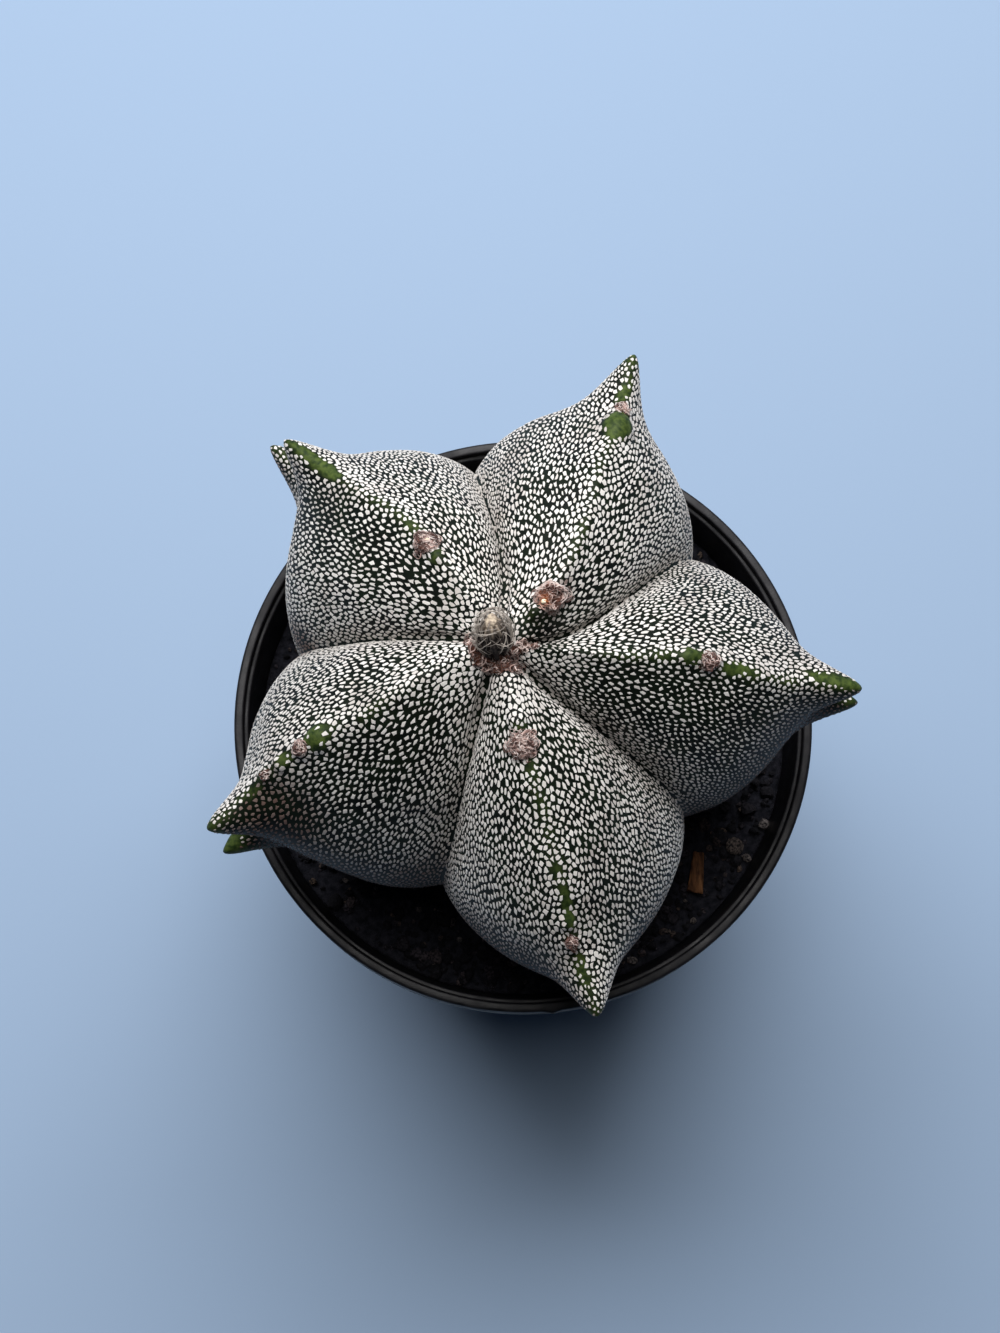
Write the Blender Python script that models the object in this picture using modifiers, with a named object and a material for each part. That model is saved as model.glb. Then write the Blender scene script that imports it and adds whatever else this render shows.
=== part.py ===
"""A young five-ribbed bishop's cap cactus in its black nursery pot.

The plant is one grown body: five ribs with sharp crests, deep creases between them, a spur at every
shoulder and felt flecks raised all over its skin. It stands in potting mix that fills the pot to 9 mm
below the rim, carries one dried flower on its crown, and a sliver of bark lies on the mix beside it.

Units are metres, +Z is up. The origin is the centre of the pot's base, on the surface it stands on.
"""

import functools
import math
import random
from collections import namedtuple

import bmesh
import bpy
from mathutils import Matrix, Vector

MM = 0.001
CLEARANCE = 0.3 * MM

# The pot
RIM_RADIUS = 37.5 * MM
POT_HEIGHT = 65.0 * MM
BASE_RADIUS = 26.5 * MM
COLLAR_DEPTH = 6.8 * MM
COLLAR_STEP = 1.1 * MM
WALL = 1.2 * MM
RIM_LAND = 1.2 * MM
LEDGE_DROP = 1.2 * MM
LEDGE_WIDTH = 0.6 * MM
FLOOR_THICKNESS = 1.3 * MM
FOOT_WIDTH = 3.2 * MM
RECESS_DEPTH = 1.0 * MM
CENTRE_DISC_RADIUS = 12.0 * MM
DRAIN_HOLES = 6
DRAIN_HOLE_RADIUS = 2.5 * MM
DRAIN_CIRCLE_RADIUS = 18.0 * MM
FOOT_NOTCH_WIDTH = 4.0 * MM
FOOT_NOTCH_DEPTH = 0.8 * MM
POT_EDGE_BREAK = 0.3 * MM
POT_INNER_FILLET = 0.9 * MM
POT_SIDES = 60

# The potting mix
SOIL_DROP = 9.0 * MM
SOIL_LEVEL = POT_HEIGHT - SOIL_DROP
SOIL_RINGS = 8
SOIL_GAP = 0.4 * MM
GRAIN_RELIEF = 1.5 * MM
GRAIN_SINK = 0.35
GRAIN_SEED = 11
SOIL_FOOT_FILLET = 1.2 * MM

# The plant's outline. Each station gives the crest's radius and height and the crease's radius and
# height, in millimetres from the plant's axis and above the rim, from the crown down to the root's end.
STATIONS = (
    (0.0, 42.8, 0.0, 42.8),
    (2.4, 42.8, 2.2, 42.7),
    (5.4, 43.7, 4.2, 41.5),
    (10.6, 43.5, 7.8, 39.0),
    (18.0, 41.1, 13.2, 35.0),
    (26.0, 37.2, 19.2, 29.2),
    (33.0, 31.8, 24.2, 23.0),
    (36.4, 25.5, 26.4, 17.0),
    (36.2, 17.5, 25.9, 10.0),
    (33.4, 7.0, 23.8, 2.0),
    (29.8, -2.0, 21.6, -4.0),
    (26.6, -9.0, 19.8, -9.0),
    (22.6, -13.2, 17.6, -13.2),
    (15.2, -18.0, 13.6, -18.0),
    (8.4, -21.6, 8.4, -21.6),
    (5.0, -25.6, 5.0, -25.6),
    (0.0, -27.6, 0.0, -27.6),
)
SHOULDER = 7
GROUND = 11
CROWN_CENTRE = Vector((-3.4, 2.1, 0.0)) * MM
BODY_CENTRE = Vector((-1.2, 2.5, 0.0)) * MM
LEAN_ENDS = 38.0

# Where each rib's crest and the crease before it run, in degrees counted anticlockwise from +X, and
# how far both turn towards the crown. Reach and lift are what the shoulder has more than the outline,
# and softness is how round the crest is. The spurs lie along the crest at distances from the crown, each
# with its length and how far it turns aside in degrees, and so do the wool pads. The sway is how far the
# crest has wandered anticlockwise at some distances. Lengths are in millimetres.
Rib = namedtuple("Rib", "crest crest_turn crease crease_turn reach lift softness spurs pads sway")
RIBS = (
    Rib(
        -3.8, -8.0, -39.0, -4.0, 0.2, 0.6, 0.07, ((41.5, 5.0, 0.0), (53.0, 6.2, 0.0), (67.0, 1.0, 0.0)),
        (23.6,), ((12.0, 0.0), (21.0, 0.6), (24.0, 0.3), (30.0, -0.9), (35.0, -1.0), (41.0, 0.0))),
    Rib(
        69.0, -43.0, 34.0, -45.0, -0.8, 0.2, 0.10, ((41.5, 6.2, 0.0), (55.0, 4.4, 0.0), (67.0, 1.0, 0.0)),
        (8.3, 35.8), ((24.0, 0.0), (33.0, -1.0), (36.0, -1.0), (41.0, 0.0))),
    Rib(
        135.0, -20.0, 101.0, -28.0, -1.6, 0.8, 0.10, ((40.0, 4.2, 0.0), (52.0, 7.9, 8.0), (66.0, 1.0, 0.0)),
        (15.2,), ((14.0, 0.0), (18.0, -0.6), (21.0, -0.7), (26.0, -0.3), (31.0, 0.0))),
    Rib(
        208.9, -6.0, 173.8, -4.0, 0.4, 0.0, 0.08, ((41.5, 5.0, 0.0), (59.0, 7.2, 8.0), (70.0, 0.6, 0.0)),
        (27.8, 34.0), ((17.0, 0.0), (25.0, -1.2), (30.0, -1.6), (34.0, -1.6), (41.0, 0.0))),
    Rib(
        282.8, 4.0, 250.6, 4.0, 1.2, -0.8, 0.24, ((41.8, 5.6, 0.0), (55.0, 4.6, 0.0), (67.0, 1.0, 0.0)),
        (11.6, 35.4), ((5.0, 0.0), (11.5, -0.45), (20.0, -0.5), (28.0, -0.75), (35.0, -1.1), (41.5, 0.0))),
)
FLANK_BULGE = 2.1 * MM
BULGE_TOWARDS_CREASE = 1.5
BULGE_STARTS = (2.0, 26.0)
BULGE_FADES_BELOW_SOIL = 14.0
SPUR_WIDTH = 2.6 * MM
SPUR_STRETCH = 1.25
SPUR_SHARPNESS = 1.7
SPUR_RISE = 0.34
PAD_RADIUS = 1.7 * MM
PAD_HEIGHT = 0.8 * MM
KNOB_OFFSET = 2.4
KNOB_RADIUS = 1.2 * MM
KNOB_HEIGHT = 0.6 * MM
FLECK_RELIEF = 0.4 * MM
FLECKS_START = 4.0

# The plant's mesh: columns round it, and the distance between rows down to each depth along the crest.
COLUMNS_A_RIB = 18
COLUMN_CROWDING = 1.45
ROW_STEPS = ((30.0, 2.0), (58.0, 1.35), (79.6, 2.1), (92.0, 3.0), (120.0, 4.4))

# The dried flower and the sliver of bark
FLOWER_CENTRE = Vector((-3.4, 1.5, 0.0)) * MM
FLOWER_CORE_RADIUS = 1.7 * MM
FLOWER_CORE_HEIGHT = 4.2 * MM
FLOWER_LEAN = Vector((-0.03, 0.46, 0.0))
FLOWER_BRACTS = 16
BRACT_LENGTH = 3.2 * MM
BRACT_RADIUS = 0.4 * MM
BRACT_ROOT_HEIGHT = 1.4 * MM
BRACT_RISES = (40.0, 55.0, 70.0)
BRACT_SEED = 4
CHIP_CENTRE = Vector((22.9, -18.9, 0.0)) * MM
CHIP_SIZE = Vector((2.2, 5.2, 0.9)) * MM
CHIP_TAPER = 0.62
CHIP_TURN = math.radians(-6.0)
CHIP_EDGE = 0.18 * MM
CHIP_BED_RADIUS = 4.4 * MM


def clear_scene():
    for thing in list(bpy.data.objects):
        bpy.data.objects.remove(thing, do_unlink=True)


def new_collection(name):
    group = bpy.data.collections.new(name)
    bpy.context.scene.collection.children.link(group)
    return group


def plain_material(name, colour, roughness, metallic=0.0):
    material = bpy.data.materials.new(name)
    material.use_nodes = True
    shader = material.node_tree.nodes["Principled BSDF"]
    shader.inputs["Base Color"].default_value = (*colour, 1.0)
    shader.inputs["Roughness"].default_value = roughness
    shader.inputs["Metallic"].default_value = metallic
    return material


def new_piece(name, mesh, material, group):
    piece = bpy.data.objects.new(name, mesh)
    mesh.materials.append(material)
    group.objects.link(piece)
    return piece


def sphere_grid(columns, rows):
    """A closed sphere mesh, with each vertex's row counted from the top pole and its column.

    The sphere's own columns start on +Y, so they are counted from there."""
    bm = bmesh.new()
    bmesh.ops.create_uvsphere(bm, u_segments=columns, v_segments=rows, radius=1.0)
    places = {}
    for vertex in bm.verts:
        polar = math.acos(max(-1.0, min(1.0, vertex.co.z)))
        turn = (math.atan2(vertex.co.y, vertex.co.x) - 0.5 * math.pi) % math.tau
        row = round(polar / math.pi * rows)
        column = round(turn / math.tau * columns) % columns
        places[vertex] = (row, 0 if row in (0, rows) else column)
    return bm, places


def smooth_step(low, high, value):
    share = max(0.0, min(1.0, (value - low) / (high - low)))
    return share * share * (3.0 - 2.0 * share)


def station_depths():
    """How far down the crest each station lies, in millimetres from the crown."""
    depths = [0.0]
    for upper, lower in zip(STATIONS, STATIONS[1:]):
        depths.append(depths[-1] + math.hypot(lower[0] - upper[0], lower[1] - upper[1]))
    return depths


DEPTHS = station_depths()


@functools.cache
def outline_at(depth):
    """Crest radius and height and crease radius and height on one smooth curve through the stations."""
    last = len(DEPTHS) - 2
    i = max(0, min(last, sum(1 for d in DEPTHS if d <= depth) - 1))
    span = DEPTHS[i + 1] - DEPTHS[i]
    t = (depth - DEPTHS[i]) / span
    values = []
    for column in range(4):
        knots = [station[column] for station in STATIONS]
        slopes = []
        for k in (i, i + 1):
            below, above = max(k - 1, 0), min(k + 1, last + 1)
            slopes.append((knots[above] - knots[below]) / (DEPTHS[above] - DEPTHS[below]) * span)
        ends = knots[i] * (1 + 2 * t) * (1 - t) ** 2 + knots[i + 1] * t * t * (3 - 2 * t)
        values.append(ends + slopes[0] * t * (1 - t) ** 2 - slopes[1] * t * t * (1 - t))
    return [value * MM for value in values]


SHOULDER_DEPTH = DEPTHS[SHOULDER]
SOIL_DEPTH = DEPTHS[GROUND]


def axis_at(depth):
    """The plant's axis, which leans a little towards the crown."""
    share = smooth_step(0.0, LEAN_ENDS, depth)
    return CROWN_CENTRE.lerp(BODY_CENTRE, share)


def shoulder_share(depth):
    """One at the shoulder, fading to nothing at the crown and at the soil."""
    if depth < SHOULDER_DEPTH:
        return smooth_step(0.0, SHOULDER_DEPTH, depth)
    return 1.0 - smooth_step(SHOULDER_DEPTH, SOIL_DEPTH, depth)


def turned(angle, turn, radius, full_radius):
    """A rib's or crease's direction, which turns as it nears the crown."""
    share = max(0.0, 1.0 - radius / full_radius)
    return math.radians(angle + turn * share * share)


def sway_at(rib, depth):
    """How far a crest has wandered anticlockwise."""
    steps = zip(rib.sway, rib.sway[1:])
    return sum((after - before) * smooth_step(start, end, depth) for (start, before), (end, after) in steps) * MM


@functools.cache
def crest_point(rib, depth):
    crest_radius, crest_height, _, _ = outline_at(depth)
    above = depth < SHOULDER_DEPTH
    turn_radius = crest_radius if above else RIM_RADIUS
    angle = turned(rib.crest, rib.crest_turn, turn_radius, STATIONS[SHOULDER][0] * MM)
    share = shoulder_share(depth)
    reach = crest_radius + rib.reach * MM * share
    point = axis_at(depth) + Vector((math.cos(angle), math.sin(angle), 0.0)) * reach
    point += Vector((-math.sin(angle), math.cos(angle), 0.0)) * sway_at(rib, depth)
    point.z = POT_HEIGHT + crest_height + rib.lift * MM * share
    return point, angle


def crease_point(index, depth):
    _, _, crease_radius, crease_height = outline_at(depth)
    rib = RIBS[index % len(RIBS)]
    above = depth < SHOULDER_DEPTH
    turn_radius = crease_radius if above else RIM_RADIUS
    angle = turned(rib.crease, rib.crease_turn, turn_radius, STATIONS[SHOULDER][2] * MM)
    point = axis_at(depth) + Vector((math.cos(angle), math.sin(angle), 0.0)) * crease_radius
    point.z = POT_HEIGHT + crease_height
    return point


def body_point(index, side, depth):
    """A point of the plain star-shaped body. Side is 0 on the crest, -1 and 1 in the creases."""
    rib = RIBS[index]
    crest, angle = crest_point(rib, depth)
    crease = crease_point(index if side < 0 else index + 1, depth)
    across = Vector((-math.sin(angle), math.cos(angle), 0.0))
    outward = Vector((math.cos(angle), math.sin(angle), 0.0))
    step = crease - crest
    share = abs(side)
    soft = rib.softness
    fall = (math.hypot(share, soft) - soft) / (math.hypot(1.0, soft) - soft)
    point = crest + outward * step.dot(outward) * fall + across * step.dot(across) * share
    point.z = crest.z + step.z * fall
    return point


def bump(distance, radius, height):
    """A low round rise that ends at its radius."""
    if distance >= radius:
        return 0.0
    return height * math.cos(0.5 * math.pi * distance / radius)


def swelling(side, depth):
    """How far the flanks stand out between crest and crease."""
    place = abs(side) ** BULGE_TOWARDS_CREASE
    risen = smooth_step(*BULGE_STARTS, depth)
    buried = smooth_step(SOIL_DEPTH, SOIL_DEPTH + BULGE_FADES_BELOW_SOIL, depth)
    return FLANK_BULGE * 4.0 * place * (1.0 - place) * risen * (1.0 - buried)


def spur_push(rib, point):
    """The pull of a rib's spurs on a point of its skin."""
    push = Vector()
    for depth, length, turn in rib.spurs:
        root, angle = crest_point(rib, depth)
        angle += math.radians(turn)
        away = point - root
        outward = Vector((math.cos(angle), math.sin(angle), SPUR_RISE)).normalized()
        across = Vector((-math.sin(angle), math.cos(angle), 0.0))
        sideways = away.dot(across)
        along = away - across * sideways
        distance = math.hypot(sideways, along.length / SPUR_STRETCH)
        push += outward * length * MM * math.exp(-((distance / SPUR_WIDTH) ** SPUR_SHARPNESS))
    return push


def pad_rise(rib, point):
    """Wool pads, each with a bare knob on the side that faces the crown."""
    rise = 0.0
    for depth in rib.pads:
        pad, _ = crest_point(rib, depth)
        knob, _ = crest_point(rib, depth - KNOB_OFFSET)
        rise = max(rise, bump((point - pad).length, PAD_RADIUS, PAD_HEIGHT))
        rise = max(rise, bump((point - knob).length, KNOB_RADIUS, KNOB_HEIGHT))
    return rise


def row_depths():
    """The depth of each row of the plant's mesh, from the crown to the root's end."""
    depths = [0.0]
    for limit, step in ROW_STEPS:
        limit = min(limit, DEPTHS[-1])
        count = max(1, round((limit - depths[-1]) / step))
        start = depths[-1]
        depths += [start + (limit - start) * (k + 1) / count for k in range(count)]
    nearest = min(range(len(depths)), key=lambda k: abs(depths[k] - SOIL_DEPTH))
    depths[nearest] = SOIL_DEPTH
    return depths, nearest


def side_of(column):
    """Which rib a column belongs to, and where it lies between its creases."""
    index, place = divmod(column, COLUMNS_A_RIB)
    half = COLUMNS_A_RIB // 2
    side = (place - half) / half
    return index, math.copysign(abs(side) ** COLUMN_CROWDING, side)


def build_cactus(material, group):
    depths, soil_row = row_depths()
    rows = len(depths) - 1
    columns = COLUMNS_A_RIB * len(RIBS)
    bm, places = sphere_grid(columns, rows)
    for vertex, (row, column) in places.items():
        index, side = side_of(column)
        vertex.co = body_point(index, side, depths[row])
    bm.normal_update()
    moves = {}
    for vertex, (row, column) in places.items():
        index, side = side_of(column)
        rib, depth = RIBS[index], depths[row]
        rise = swelling(side, depth) + pad_rise(rib, vertex.co)
        in_the_open = FLECKS_START < depth < depths[soil_row - 1] and abs(side) < 1.0
        if in_the_open and (row + column) % 2 == 0:
            rise += FLECK_RELIEF
        moves[vertex] = vertex.normal * rise + spur_push(rib, vertex.co)
    for vertex, move in moves.items():
        vertex.co += move
    bm.normal_update()
    buried = {}
    for vertex, (row, column) in places.items():
        if row >= soil_row:
            buried[row, column] = (vertex.co.copy(), vertex.normal.copy())
    mesh = bpy.data.meshes.new("cactus")
    below = [face for face in bm.faces if all(places[vertex][0] >= soil_row for vertex in face.verts)]
    bmesh.ops.triangulate(bm, faces=below, quad_method="FIXED")
    bmesh.ops.triangulate(bm, faces=bm.faces[:])
    bm.to_mesh(mesh)
    bm.free()
    mesh.shade_smooth()
    new_piece("cactus", mesh, material, group)
    return buried, soil_row, rows


def pot_inner_radius(height):
    """The inside of the pot's slanting wall, at a height above its base."""
    share = height / (POT_HEIGHT - COLLAR_DEPTH)
    outer = BASE_RADIUS + (RIM_RADIUS - COLLAR_STEP - BASE_RADIUS) * share
    return outer - WALL


def pot_profile():
    """Half of the pot's section, from the rim down its outer side and back up its inner side."""
    collar_foot = POT_HEIGHT - COLLAR_DEPTH
    wall_top = RIM_RADIUS - COLLAR_STEP
    edge = POT_EDGE_BREAK
    floor = RECESS_DEPTH + FLOOR_THICKNESS
    ledge_radius = RIM_RADIUS - RIM_LAND
    recess_edge = edge
    fillet = POT_INNER_FILLET
    wall_foot_inside = pot_inner_radius(floor)
    return (
        (ledge_radius + edge, POT_HEIGHT),
        (RIM_RADIUS - edge, POT_HEIGHT),
        (RIM_RADIUS, POT_HEIGHT - edge),
        (RIM_RADIUS, collar_foot + edge),
        (RIM_RADIUS - edge, collar_foot),
        (wall_top, collar_foot - edge),
        (BASE_RADIUS + edge, edge),
        (BASE_RADIUS, 0.0),
        (BASE_RADIUS - FOOT_WIDTH, 0.0),
        (BASE_RADIUS - FOOT_WIDTH - recess_edge, RECESS_DEPTH),
        (CENTRE_DISC_RADIUS + recess_edge, RECESS_DEPTH),
        (CENTRE_DISC_RADIUS, 0.0),
        (0.0, 0.0),
        (0.0, floor),
        (wall_foot_inside - fillet, floor),
        (pot_inner_radius(floor + fillet), floor + fillet),
        (pot_inner_radius(collar_foot), collar_foot),
        (ledge_radius - LEDGE_WIDTH, POT_HEIGHT - LEDGE_DROP - edge),
        (ledge_radius - edge, POT_HEIGHT - LEDGE_DROP),
        (ledge_radius, POT_HEIGHT - edge),
    )


def build_pot(material, group, cutters):
    bm = bmesh.new()
    points = [bm.verts.new((radius, 0.0, height)) for radius, height in pot_profile()]
    for point, following in zip(points, points[1:] + points[:1]):
        on_axis = point.co.x == 0.0 and following.co.x == 0.0
        if not on_axis:
            bm.edges.new((point, following))
    mesh = bpy.data.meshes.new("pot")
    bm.to_mesh(mesh)
    bm.free()
    pot = new_piece("pot", mesh, material, group)
    screw = pot.modifiers.new("turned", "SCREW")
    screw.steps = screw.render_steps = POT_SIDES
    screw.use_merge_vertices = True
    screw.merge_threshold = 0.00001
    screw.use_smooth_shade = False
    cut = pot.modifiers.new("drains", "BOOLEAN")
    cut.object = drain_cutter(cutters)
    cut.operation = "DIFFERENCE"


def drain_cutter(cutters):
    """Drills for the drain holes and bars for the notches across the foot, as one cutter."""
    name = "drain_holes"
    bm = bmesh.new()
    reach = 4.0 * (RECESS_DEPTH + FLOOR_THICKNESS)
    for k in range(DRAIN_HOLES):
        angle = math.tau * k / DRAIN_HOLES
        drill = bmesh.ops.create_cone(
            bm, cap_ends=True, segments=16, radius1=DRAIN_HOLE_RADIUS, radius2=DRAIN_HOLE_RADIUS, depth=reach)
        centre = Vector((math.cos(angle), math.sin(angle), 0.0)) * DRAIN_CIRCLE_RADIUS
        bmesh.ops.translate(bm, verts=drill["verts"], vec=centre)
        notch = bmesh.ops.create_cube(bm, size=1.0)
        size = Vector((2.5 * FOOT_WIDTH, FOOT_NOTCH_WIDTH, 2.0 * FOOT_NOTCH_DEPTH))
        bmesh.ops.scale(bm, verts=notch["verts"], vec=size)
        bmesh.ops.translate(bm, verts=notch["verts"], vec=(BASE_RADIUS, 0.0, 0.0))
        halfway = Matrix.Rotation(angle + math.pi / DRAIN_HOLES, 3, "Z")
        bmesh.ops.rotate(bm, verts=notch["verts"], matrix=halfway)
    mesh = bpy.data.meshes.new(name)
    bm.to_mesh(mesh)
    bm.free()
    cutter = bpy.data.objects.new(name, mesh)
    cutter.display_type = "WIRE"
    cutter.hide_render = True
    cutters.objects.link(cutter)
    return cutter


def build_soil(buried, soil_row, rows, material, group):
    """Potting mix as one closed cup: the plant's hollow, the gritty top, the side and the underside."""
    columns = COLUMNS_A_RIB * len(RIBS)
    hole_rows = rows - soil_row
    bottom = RECESS_DEPTH + FLOOR_THICKNESS + CLEARANCE
    side_heights = (SOIL_LEVEL, bottom + SOIL_FOOT_FILLET, bottom)
    total = hole_rows + SOIL_RINGS + len(side_heights)
    bm, places = sphere_grid(columns, total)
    random.seed(GRAIN_SEED)
    grains = {(ring, column): random.random() for ring in range(1, SOIL_RINGS) for column in range(columns)}
    for vertex, (row, column) in places.items():
        if row < hole_rows:
            place, normal = buried[rows - row, column]
            vertex.co = place + normal * SOIL_GAP
            continue
        edge, normal = buried[soil_row, column]
        level_normal = Vector((normal.x, normal.y, 0.0))
        near = edge + level_normal * SOIL_GAP / level_normal.length_squared
        turn = math.atan2(edge.y, edge.x)
        wall = Vector((math.cos(turn), math.sin(turn), 0.0))
        if row < hole_rows + SOIL_RINGS:
            ring = row - hole_rows
            rim = wall * (pot_inner_radius(SOIL_LEVEL) - SOIL_GAP)
            vertex.co = near.lerp(rim, ring / SOIL_RINGS)
            bare = ring == 0 or (vertex.co - CHIP_CENTRE).xy.length < CHIP_BED_RADIUS
            relief = 0.0 if bare else GRAIN_RELIEF * (grains[ring, column] - GRAIN_SINK)
            vertex.co.z = SOIL_LEVEL + relief * min(1.0, ring / 2.0)
        elif row < total:
            height = side_heights[row - hole_rows - SOIL_RINGS]
            fillet = SOIL_FOOT_FILLET if height == bottom else 0.0
            vertex.co = wall * (pot_inner_radius(height) - SOIL_GAP - fillet)
            vertex.co.z = height
        else:
            vertex.co = Vector((0.0, 0.0, bottom))
    mesh = bpy.data.meshes.new("soil")
    hollow = [face for face in bm.faces if all(places[vertex][0] <= hole_rows for vertex in face.verts)]
    bmesh.ops.triangulate(bm, faces=hollow, quad_method="ALTERNATE")
    bmesh.ops.triangulate(bm, faces=bm.faces[:])
    bm.to_mesh(mesh)
    bm.free()
    new_piece("soil", mesh, material, group)


def build_flower(material, group):
    """The dried flower: a shrivelled core in a basket of stiff brown bracts, fused at their roots."""
    base = POT_HEIGHT + STATIONS[0][1] * MM + CLEARANCE
    bm = bmesh.new()
    bmesh.ops.create_uvsphere(bm, u_segments=12, v_segments=8, radius=1.0)
    half = 0.5 * FLOWER_CORE_HEIGHT
    bmesh.ops.scale(bm, verts=bm.verts, vec=(FLOWER_CORE_RADIUS, FLOWER_CORE_RADIUS, half))
    bmesh.ops.translate(bm, verts=bm.verts, vec=FLOWER_CENTRE + Vector((0.0, 0.0, base + half)))
    mesh = bpy.data.meshes.new("dried_flower")
    bm.to_mesh(mesh)
    bm.free()
    core = new_piece("dried_flower", mesh, material, group)
    bracts = new_collection("bracts")
    random.seed(BRACT_SEED)
    root = FLOWER_CENTRE + Vector((0.0, 0.0, base + BRACT_ROOT_HEIGHT))
    for k in range(FLOWER_BRACTS):
        turn = math.tau * (k + 0.4 * random.random()) / FLOWER_BRACTS
        rise = math.radians(random.choice(BRACT_RISES))
        length = BRACT_LENGTH * random.uniform(0.8, 1.1)
        aim = Vector((math.cos(turn) * math.cos(rise), math.sin(turn) * math.cos(rise), math.sin(rise)))
        add_bract(bracts, root, aim, length)
    union = core.modifiers.new("bracts", "BOOLEAN")
    union.operand_type = "COLLECTION"
    union.collection = bracts
    union.operation = "UNION"
    graph = bpy.context.evaluated_depsgraph_get()
    fused = bpy.data.meshes.new_from_object(core.evaluated_get(graph))
    core.modifiers.clear()
    core.data = fused
    for vertex in fused.vertices:
        vertex.co += FLOWER_LEAN * (vertex.co.z - base)
    for bract in list(bracts.objects):
        bpy.data.objects.remove(bract, do_unlink=True)
    bpy.data.collections.remove(bracts)


def add_bract(bracts, root, aim, length):
    bm = bmesh.new()
    bmesh.ops.create_cone(
        bm, cap_ends=True, segments=5, radius1=BRACT_RADIUS, radius2=0.3 * BRACT_RADIUS, depth=length)
    bmesh.ops.translate(bm, verts=bm.verts, vec=(0.0, 0.0, 0.5 * length))
    bmesh.ops.rotate(bm, verts=bm.verts, matrix=aim.to_track_quat("Z", "Y").to_matrix())
    bmesh.ops.translate(bm, verts=bm.verts, vec=root)
    mesh = bpy.data.meshes.new("bract")
    bm.to_mesh(mesh)
    bm.free()
    bracts.objects.link(bpy.data.objects.new("bract", mesh))


def build_chip(material, group):
    """A tapered sliver of pine bark lying on the mix, its edges worn round."""
    bm = bmesh.new()
    bmesh.ops.create_cube(bm, size=1.0)
    bmesh.ops.scale(bm, verts=bm.verts, vec=CHIP_SIZE)
    for vertex in bm.verts:
        if vertex.co.y > 0.0:
            vertex.co.x *= CHIP_TAPER
    mesh = bpy.data.meshes.new("bark_chip")
    bm.to_mesh(mesh)
    bm.free()
    chip = new_piece("bark_chip", mesh, material, group)
    lift = SOIL_LEVEL + CLEARANCE + 0.5 * CHIP_SIZE.z
    chip.location = CHIP_CENTRE + Vector((0.0, 0.0, lift))
    chip.rotation_euler = (0.0, 0.0, CHIP_TURN)
    edges = chip.modifiers.new("worn_edges", "BEVEL")
    edges.width = CHIP_EDGE
    edges.segments = 2


def main():
    clear_scene()
    parts = new_collection("potted_bishops_cap_cactus")
    cutters = new_collection("cutters")
    skin = plain_material("flecked_skin", (0.30, 0.33, 0.27), 0.85)
    plastic = plain_material("black_plastic", (0.012, 0.012, 0.014), 0.42)
    mix = plain_material("potting_mix", (0.035, 0.030, 0.026), 0.95)
    bark = plain_material("pine_bark", (0.22, 0.10, 0.05), 0.9)
    withered = plain_material("dried_petals", (0.20, 0.15, 0.12), 0.9)
    build_pot(plastic, parts, cutters)
    buried, soil_row, rows = build_cactus(skin, parts)
    build_soil(buried, soil_row, rows, mix, parts)
    build_chip(bark, parts)
    build_flower(withered, parts)


main()
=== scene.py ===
"""The looks of a young five-ribbed bishop's cap cactus in its black nursery pot.

The sections follow the potting: the pot, the plant that stands in it, what grows on the plant, the mix
poured round it, and the sliver of bark and the loose grains that lie on top. Shapes are worked out in
millimetres and go to metres as their meshes are made. +Z is up, and the origin is the centre of the pot's
base.
"""

import math
from collections import namedtuple

import bmesh
import bpy
import numpy as np
from mathutils import Matrix, Vector, kdtree, noise
from mathutils.bvhtree import BVHTree


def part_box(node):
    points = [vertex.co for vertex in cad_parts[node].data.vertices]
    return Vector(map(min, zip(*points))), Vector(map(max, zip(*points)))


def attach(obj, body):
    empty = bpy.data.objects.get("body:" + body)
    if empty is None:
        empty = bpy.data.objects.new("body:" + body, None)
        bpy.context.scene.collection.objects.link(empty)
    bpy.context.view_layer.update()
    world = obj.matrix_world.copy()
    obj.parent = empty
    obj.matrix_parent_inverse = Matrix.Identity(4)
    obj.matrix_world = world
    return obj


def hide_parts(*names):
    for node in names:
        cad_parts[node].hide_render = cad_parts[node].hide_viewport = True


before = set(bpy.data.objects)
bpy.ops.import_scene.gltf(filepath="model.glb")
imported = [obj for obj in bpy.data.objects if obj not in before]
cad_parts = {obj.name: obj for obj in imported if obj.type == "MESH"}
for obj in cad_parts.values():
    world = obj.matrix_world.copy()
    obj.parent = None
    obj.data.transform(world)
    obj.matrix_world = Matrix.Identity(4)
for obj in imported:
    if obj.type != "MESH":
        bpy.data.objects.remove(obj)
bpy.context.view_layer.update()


# Camera. It looks down on the plant from a hand's length above the crown, a little from the near side,
# as the photograph does, with the picture's long side upright.
MM = 0.001
CAMERA_PLACE = Vector((-3.0, -48.5, 372.4)) * MM
CAMERA_TILT = math.radians(10.26)
PICTURE_HEIGHT = 1333
FOCAL_PIXELS = 2400.0

lens = bpy.data.cameras.new("camera")
lens.lens = lens.sensor_width * FOCAL_PIXELS / PICTURE_HEIGHT
lens.clip_start = 10.0 * MM
camera = bpy.data.objects.new("camera", lens)
camera.location = CAMERA_PLACE
camera.rotation_euler = (CAMERA_TILT, 0.0, 0.0)
bpy.context.scene.collection.objects.link(camera)
bpy.context.scene.camera = camera


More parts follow.
